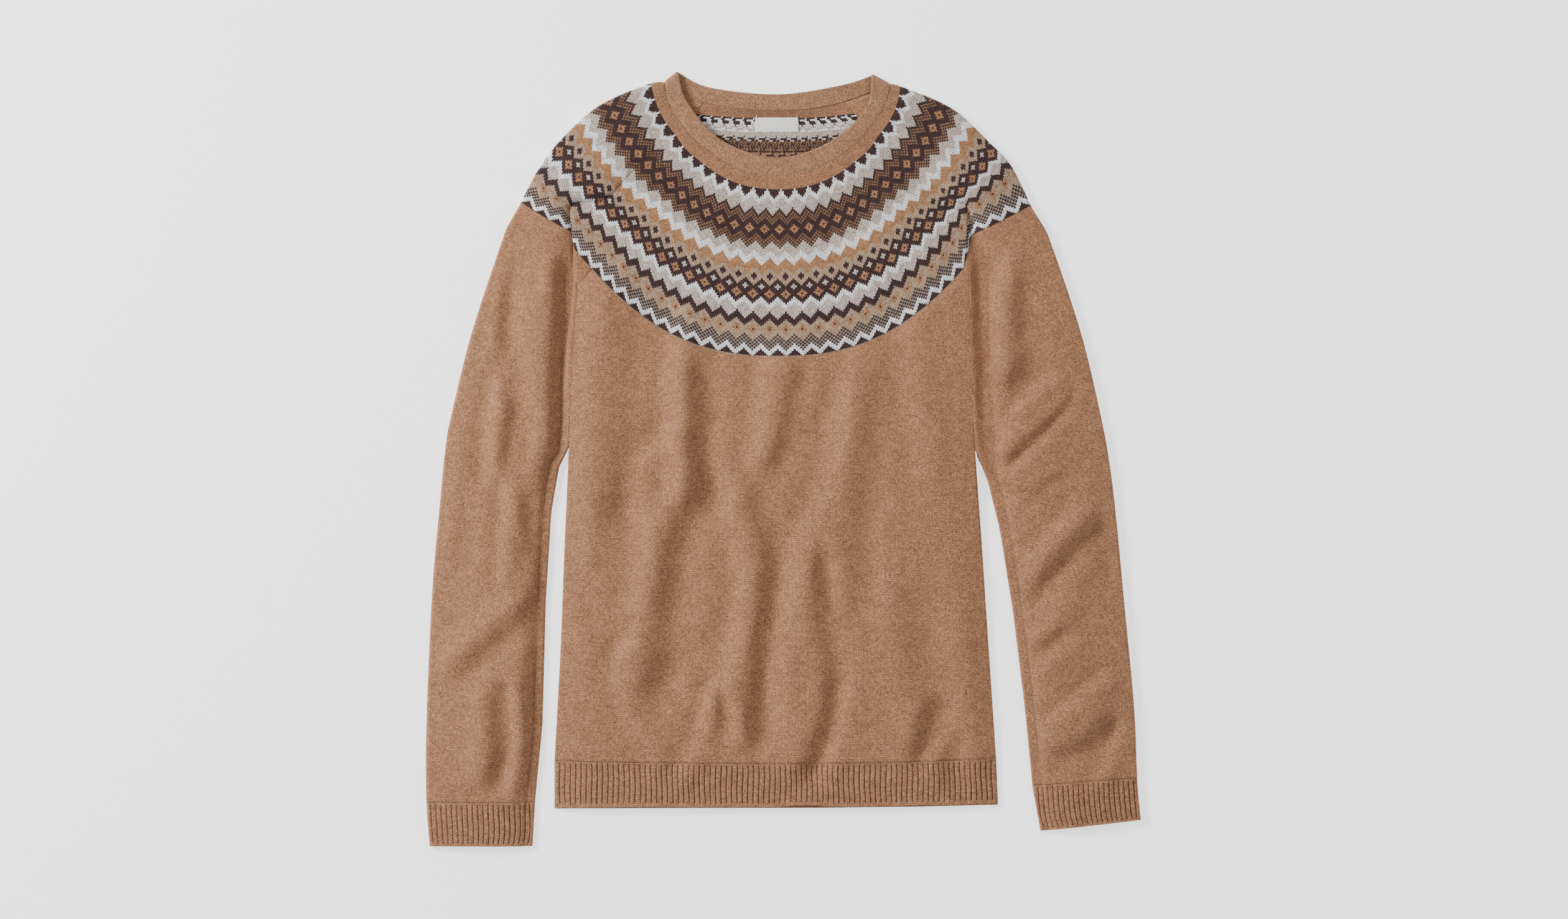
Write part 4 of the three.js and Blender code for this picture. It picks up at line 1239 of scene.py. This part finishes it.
def rib_yarns(columns):
    """Yarns of a ribbed band: the columns beside a groove are darker, as painted shade."""
    place = np.arange(columns) % PER_RIB
    # Painted shade: the two columns beside each groove take the darker groove camel.
    row = np.where((place == 0) | (place == PER_RIB - 1), GROOVE_SHADE, CAMEL)
    grooved = (RIB_ROWS[1:] <= SMOOTH_EDGE) & (RIB_ROWS[:-1] > 0.01)
    return np.where(grooved[:, None], row[None, :], CAMEL)


def make_hem_front():
    fabric = Fabric()
    across = np.linspace(-1, 1, HEM_RIBS * PER_RIB + 1)
    places = HEM_ROW + RIB_ROWS
    outer = plain_front(places, across)
    inside = np.minimum(1, 8 * RIB_ROWS[:, None]) * (np.abs(across) < 0.99)
    outer[..., 0] += 0.4 * np.sin(outer[..., 1] / 7 + outer[..., 0] / 23) * inside
    up = np.zeros(outer.shape)
    up[..., 2] = rib_profile(len(across), RIB_ROWS)
    ids = fabric.put(outer, plain_stitches(outer, HEM_WALE), up)
    fabric.fill(ids, rib_yarns(len(across) - 1))
    under = front_surface(np.linspace(HEM_ROW, HEM_ROW + 1, 4)[:, None],
                          np.linspace(-1, 1, 61)[None, :])
    under[..., 2] -= WALL / 2
    inner = fabric.put(under, plain_stitches(under))
    fabric.fill(inner, side=1, turned=True)
    close_sheet(fabric, edges_of(ids), edges_of(inner))
    return sewn_piece("rib_hem_front", fabric, "hem_front", RIB_HEIGHT, 0.15)


def make_hem_back():
    fabric = Fabric()
    across = np.linspace(-1, 1, HEM_RIBS * 4 + 1)
    places = np.linspace(BACK_HEM_ROW, BACK_HEM_ROW + 1, 6)
    grid = back_surface(places[:, None], across[None, :])
    flat_rib = (np.arange(len(across)) % 4 != 0) * 0.35
    outer = grid.copy()
    outer[..., 2] += -WALL / 2 + 0.35 - flat_rib
    ids = fabric.put(outer, plain_stitches(outer, HEM_WALE))
    fabric.fill(ids, turned=True)
    inner_grid = back_surface(places[:, None], np.linspace(-1, 1, 61)[None, :])
    inner_grid[..., 2] += WALL / 2
    inner = fabric.put(inner_grid, plain_stitches(inner_grid))
    fabric.fill(inner, side=1)
    close_sheet(fabric, edges_of(inner), edges_of(ids))
    return sewn_piece("rib_hem_back", fabric, "hem_back", 0.0)


hems = [make_hem_front(), make_hem_back()]

# %% Cuffs
def resampled(line, count):
    """A line with evenly spaced points, its two ends kept."""
    along = running(line)
    at = np.linspace(0, along[-1], count)
    return np.stack([np.interp(at, along, line[:, k]) for k in range(3)], -1)


def make_cuff(side):
    fabric = Fabric()
    turned = side == "left"
    places = CUFF_ROW + RIB_ROWS
    fine = []
    for at in places:
        line = sleeve_course(side, at)
        upper = resampled(line[: FOLD_INDEX + 1], CUFF_RIBS * PER_RIB + 1)
        lower = resampled(line[FOLD_INDEX:], UNDER_RIBS * PER_RIB + 1)
        fine.append(np.concatenate([upper, lower[1:]]))
    grid = np.array(fine)
    edges = np.zeros(grid.shape[:2], bool)
    edges[:, [0, -1]] = True
    outer, normal = round_sleeve(grid, edges)
    inward = np.linalg.norm(grid - grid[:, :1], axis=-1)
    outer[..., 2] -= edge_drop(inward, 1.0) * (np.arange(grid.shape[1]) < CUFF_RIBS * PER_RIB // 2)
    rise = rib_profile(grid.shape[1], RIB_ROWS)
    rise[grid[..., 2] < BACK_Z + 0.2] = 0
    rise[edges] = 0
    arc = np.array([running(line) for line in grid])
    down = running(grid[:, 40])
    numbers = np.stack([arc / CUFF_WALE, np.broadcast_to((down / ROW)[:, None], arc.shape)], -1)
    ids = fabric.put(outer, numbers, normal * rise[..., None])
    fabric.fill(ids, rib_yarns(grid.shape[1] - 1), turned=turned)
    coarse, coarse_edges = sleeve_grid(side, np.linspace(CUFF_ROW, CUFF_ROW + 1, 4))
    _, across = round_sleeve(coarse, coarse_edges)
    inner = fabric.put(coarse - across * WALL / 2, sleeve_stitches(coarse))
    fabric.fill(inner, side=1, turned=not turned)
    close_sheet(fabric, edges_of(ids), edges_of(inner), turned=turned)
    return sewn_piece(f"rib_cuff_{side}", fabric, f"cuff_{side}", RIB_HEIGHT, 0.15)


cuffs = [make_cuff(side) for side in ("left", "right")]

# %% [markdown]
# ## Neckband
# The neckband is a strip of plain knitting folded double and linked on. It is
# made as one ring: from the seam up the outside, over the soft folded edge and
# down the inside.

# %% Neckband
BAND_STITCH = 1.4  # the neckband is knitted finer than the body
BAND_ROW = 1.1
LINK_DEPTH = 0.45  # the band sinks in beside the seam where it is linked on
LINK_WIDTH = 1.3
RING_FRONT = 170
RING_BACK = 140
BAND_SHARES = np.array([0, 0.02, 0.05, 0.1, 0.2, 0.3, 0.4, 0.5, 0.6, 0.7, 0.78, 0.85, 0.9,
                        0.94, 0.97, 0.99, 1.0])


def open_edge(edge, count=400):
    """A smooth line through the neckband's open edge, with even points."""
    places = np.linspace(0, len(edge) - 1, count)
    x, y = (curved(column, places) for column in np.array(edge, float).T)
    return np.column_stack([x, y, np.zeros(count)])


def edge_points(edge, seam):
    """Points of the open edge that go with points of the seam."""
    line = open_edge(edge)
    along = running(line)
    total = along[-1]
    flat = seam.copy()
    flat[:, 2] = 0
    way = running(flat)
    whole = way[-1]
    stretch = (total - 2 * FOLD) / (whole - 2 * FOLD)
    place = FOLD + (way - FOLD) * stretch
    place = np.where(way < FOLD, way, place)
    place = np.where(way > whole - FOLD, total - (whole - way), place)
    return np.stack([np.interp(place, along, line[:, k]) for k in (0, 1)], -1)


def band_rows(edge, seam):
    """Middle of the band at each place of its seam, out to the open edge."""
    open_line = edge_points(edge, seam)
    turned = np.clip(1 - np.abs(seam[:, 2] - BACK_Z - FOLD) / FOLD, 0, 1)
    start = TUCK * np.sqrt(turned) * 0.5
    share = start[:, None] + (1 - start[:, None]) * BAND_SHARES[None, :]
    x = mix(seam[:, :1], open_line[:, :1], share)
    y = mix(seam[:, 1:2], open_line[:, 1:2], share)
    z = np.broadcast_to(seam[:, 2:] + (BAND_WALL - WALL) / 2, x.shape)
    return np.stack([x, y, z], -1)


def neck_ring():
    """The line where the neckband is linked on: front part and back part."""
    ring = yoke_round(BAND_INSET - CROWN_ROWS)
    left, right = ring["left"][0], ring["right"][0]
    outer = slice(None, FOLD_INDEX + 1)
    under = slice(FOLD_INDEX, None)
    front_part = np.concatenate([left[outer][::-1], ring["front"][0][1:-1], right[outer]])
    back_part = np.concatenate([right[under], ring["back"][0][::-1][1:-1], left[under][::-1]])
    return resampled(front_part, RING_FRONT), resampled(back_part, RING_BACK)


def make_neckband():
    fabric = Fabric()
    front_part, back_part = neck_ring()
    front_rows, back_rows = band_rows(BAND_FRONT, front_part), band_rows(BAND_BACK, back_part)
    grid = np.concatenate([front_rows, back_rows[1:-1]])
    around = np.roll(grid, -1, 0) - np.roll(grid, 1, 0)
    cols = np.arange(grid.shape[1])
    across = grid[:, np.minimum(cols + 1, cols[-1])] - grid[:, np.maximum(cols - 1, 0)]
    normal = np.cross(around, across)
    normal /= np.maximum(np.linalg.norm(normal, axis=-1, keepdims=True), 1e-9)
    width = np.linalg.norm(grid[:, -1] - grid[:, 0], axis=-1)[:, None]
    to_edge = (1 - BAND_SHARES)[None, :] * width
    half = BAND_WALL / 2
    tip = np.sqrt(np.clip(1 - (1 - np.clip(to_edge / half, 0, 1)) ** 2, 0, 1))
    from_seam = BAND_SHARES[None, :] * width
    sunk = LINK_DEPTH * np.exp(-((from_seam / LINK_WIDTH) ** 2))
    outer = grid + normal * ((half - sunk) * tip)[..., None]
    inner = grid - normal * (half * tip)[..., None]
    loop = np.concatenate([outer, inner[:, ::-1][:, 1:]], axis=1)
    loop = np.concatenate([loop, loop[:1]])
    arc = running(np.concatenate([grid, grid[:1]])[:, 8])
    down = np.array([running(line) for line in loop])
    numbers = np.stack([np.broadcast_to((arc / BAND_STITCH)[:, None], down.shape), down / BAND_ROW], -1)
    ids = fabric.put(loop, numbers)
    yarn = YARN_LETTERS.index("n")
    fabric.fill(ids, yarn)
    fabric.fill(np.stack([ids[:, -1], ids[:, 0]], 1), yarn)
    return sewn_piece("neck_band", fabric, "neckband", 0.0)


neckband = make_neckband()

# %% [markdown]
# ## Label
# A woven label of off-white satin tape, left bare, tacked on at its two upper
# corners. Its corners are slightly soft and it bows a little off the cloth.

# %% Label
LABEL_BOW = 0.25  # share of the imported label's height
LABEL_WALL = 0.7


def label_material():
    """Satin tape: fine cross ribs, two close whites and a dull shine."""
    material, tree = new_material("woven_satin_tape")
    place = add(tree, "ShaderNodeTexCoord")
    weave = add(tree, "ShaderNodeTexWave", {"bands_direction": "Y"}, {
        "Vector": place.outputs["Object"], "Scale": 1 / 0.002, "Distortion": 0.3, "Detail": 1.0})
    colour = add(tree, "ShaderNodeMix", {"data_type": "RGBA"}, {
        "Factor": weave.outputs["Fac"], 6: linear("#EFECE4"), 7: linear("#F6F4EE")})
    matt_surface(tree, colour.outputs[2], 0.6, weave.outputs["Fac"], 0.15, 0.1)
    return material


def make_label():
    low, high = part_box("label")
    size = high - low
    work = bmesh.new()
    across, down = 24, 10
    grid = []
    for i in range(down + 1):
        row = []
        for j in range(across + 1):
            u, v = j / across, i / down
            bow = LABEL_BOW * math.sin(math.pi * u) * math.sin(math.pi * v) * size.z
            row.append(work.verts.new((mix(low.x, high.x, u), mix(high.y, low.y, v), low.z + bow)))
        grid.append(row)
    for i in range(down):
        for j in range(across):
            face = work.faces.new((grid[i][j], grid[i + 1][j], grid[i + 1][j + 1], grid[i][j + 1]))
            face.smooth = True
    mesh = bpy.data.meshes.new("label_tape")
    work.to_mesh(mesh)
    work.free()
    label = new_object("label_tape", mesh, [label_material()])
    wall = label.modifiers.new("thickness", "SOLIDIFY")
    wall.thickness = LABEL_WALL * size.z
    wall.offset = 1.0
    soft = label.modifiers.new("soft edge", "BEVEL")
    soft.width = 0.0002
    soft.segments = 2
    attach(label, "root")
    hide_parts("label")
    return label


label = make_label()

# %% [markdown]
# ## Linking stitches
# The neckband is linked to the body by a chain of small V stitches. They are
# instances of one stitch along a line, turned to follow it.

# %% Geometry Nodes: a line of stitches
def stitch_line_tree():
    tree, group = new_tree("stitch_line", [
        ("Spacing", "NodeSocketFloat", 0.0024), ("Length", "NodeSocketFloat", 0.0024),
        ("Thickness", "NodeSocketFloat", 0.0008), ("Unevenness", "NodeSocketFloat", 0.2),
        ("Seed", "NodeSocketInt", 3), ("Material", "NodeSocketMaterial", None)])
    curve = add(tree, "GeometryNodeMeshToCurve", inputs={"Mesh": group.outputs["Geometry"]})
    points = add(tree, "GeometryNodeCurveToPoints", {"mode": "LENGTH"}, {
        "Curve": curve.outputs[0], "Length": group.outputs["Spacing"]})
    turn = add(tree, "FunctionNodeAlignRotationToVector", {"axis": "X", "pivot_axis": "Z"}, {
        "Vector": points.outputs["Tangent"]})
    leg = add(tree, "GeometryNodeMeshUVSphere", inputs={"Segments": 6, "Rings": 4, "Radius": 0.5})
    size = add(tree, "ShaderNodeCombineXYZ", inputs={
        0: group.outputs["Length"], 1: group.outputs["Thickness"], 2: group.outputs["Thickness"]})
    rolled = add(tree, "GeometryNodeTransform", inputs={
        "Geometry": leg.outputs["Mesh"], "Scale": size.outputs[0], "Rotation": (0, 0, 0.45)})
    stretch = add(tree, "FunctionNodeRandomValue", {"data_type": "FLOAT"}, {
        "Seed": group.outputs["Seed"]})
    spread = math_node(tree, "MULTIPLY", math_node(tree, "SUBTRACT", stretch.outputs[1], 0.5),
                       group.outputs["Unevenness"])
    scale = math_node(tree, "ADD", spread, 1.0)
    laid = add(tree, "GeometryNodeInstanceOnPoints", inputs={
        "Points": points.outputs["Points"], "Instance": rolled.outputs[0],
        "Rotation": turn.outputs[0], "Scale": scale})
    smooth = add(tree, "GeometryNodeSetShadeSmooth", inputs={"Geometry": laid.outputs[0]})
    finish_tree(tree, group, smooth.outputs[0])
    return tree


STITCH_LINE = stitch_line_tree()


def thread_material(name, colour):
    """Matt wool thread, slightly darker where the plies meet."""
    material, tree = new_material(name)
    plies = grain(tree, 0.8, 2.0)
    tone = ranged(tree, plies.outputs["Fac"], (0.3, 0.7), (0.8, 1.12))
    shade = add(tree, "ShaderNodeVectorMath", {"operation": "SCALE"}, {
        0: linear(colour)[:3], "Scale": tone})
    matt_surface(tree, shade.outputs[0], 0.9, plies.outputs["Fac"], 0.5, 0.2)
    return material


LINKING_YARN = thread_material("linking_yarn", "#D8B48A")
TACK_THREAD = thread_material("tack_thread", "#E8E2D6")


def stitch_line(name, line, material, spacing, length, thickness):
    """Stitches along a line of points, in millimetres."""
    mesh = bpy.data.meshes.new(name)
    steps = [(i, i + 1) for i in range(len(line) - 1)]
    mesh.from_pydata((np.asarray(line) * MM).tolist(), steps, [])
    obj = new_object(name, mesh, [])
    grown(obj, STITCH_LINE, {
        "Spacing": spacing * MM, "Length": length * MM, "Thickness": thickness * MM,
        "Unevenness": 0.2, "Seed": 3, "Material": material})
    obj.data.name = name
    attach(obj, "root")
    print(name, len(obj.data.polygons), "faces")
    return obj


def link_neckband():
    """Stitches on the outer face of the front's seam and on the inside of the back's."""
    front_part, back_part = neck_ring()
    on_cloth = (0, 0, WALL / 2 + 0.25)
    flat = back_part[:, 2] < BACK_Z + 0.1
    for name, line in (("link_front", front_part[6:-6]), ("link_back", back_part[flat])):
        stitch_line(name, line + on_cloth, LINKING_YARN, 2.2, 1.7, 0.9)


def tack_label():
    """A short line of stitches over the top edge at each upper corner."""
    low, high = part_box("label")
    top = high.z / MM + 0.1
    for side, place in (("left", low.x / MM + 1.2), ("right", high.x / MM - 1.2)):
        line = [(place, high.y / MM - 0.6, top), (place, high.y / MM + 1.4, top)]
        stitch_line(f"tack_{side}", line, TACK_THREAD, 0.7, 1.6, 0.5)


link_neckband()
tack_label()

# %% [markdown]
# ## Light and camera
# The photograph was taken from straight above with soft light from the upper
# left, which gives the folds a lit and a shaded side. A large area light does
# that, a weaker one on the right opens the shadows, and the world is nearly
# white. The camera sees the same rectangle of the table as the photograph.

# %% Light
def area_light(name, place, size, power):
    data = bpy.data.lights.new(name, "AREA")
    data.shape = "DISK"
    data.size = size
    data.energy = power
    lamp = bpy.data.objects.new(name, data)
    bpy.context.scene.collection.objects.link(lamp)
    lamp.location = place
    lamp.rotation_euler = (-lamp.location).to_track_quat("-Z", "Y").to_euler()


area_light("key", (-2.4, 1.0, 1.6), 1.0, 130)
area_light("fill", (2.2, 0.4, 2.2), 2.0, 20)
world = bpy.data.worlds.new("studio")
world.use_nodes = True
backdrop = world.node_tree.nodes["Background"].inputs
backdrop["Color"].default_value = (1, 1, 1, 1)
backdrop["Strength"].default_value = 0.45
bpy.context.scene.world = world

# %% Camera
PHOTO_SCALE = 0.56  # millimetres to a pixel of the photograph
PHOTO_WIDTH = 2520 * PHOTO_SCALE
VIEW_CENTRE = (5.6, -7.8)
DISTANCE = 3000.0
TABLE_PLANE = 8.0
SENSOR = 36.0
camera_data = bpy.data.cameras.new("camera")
camera_data.sensor_width = SENSOR
camera_data.lens = SENSOR * DISTANCE / PHOTO_WIDTH
camera = bpy.data.objects.new("camera", camera_data)
bpy.context.scene.collection.objects.link(camera)
camera.location = (VIEW_CENTRE[0] * MM, VIEW_CENTRE[1] * MM, (DISTANCE + TABLE_PLANE) * MM)
bpy.context.scene.camera = camera
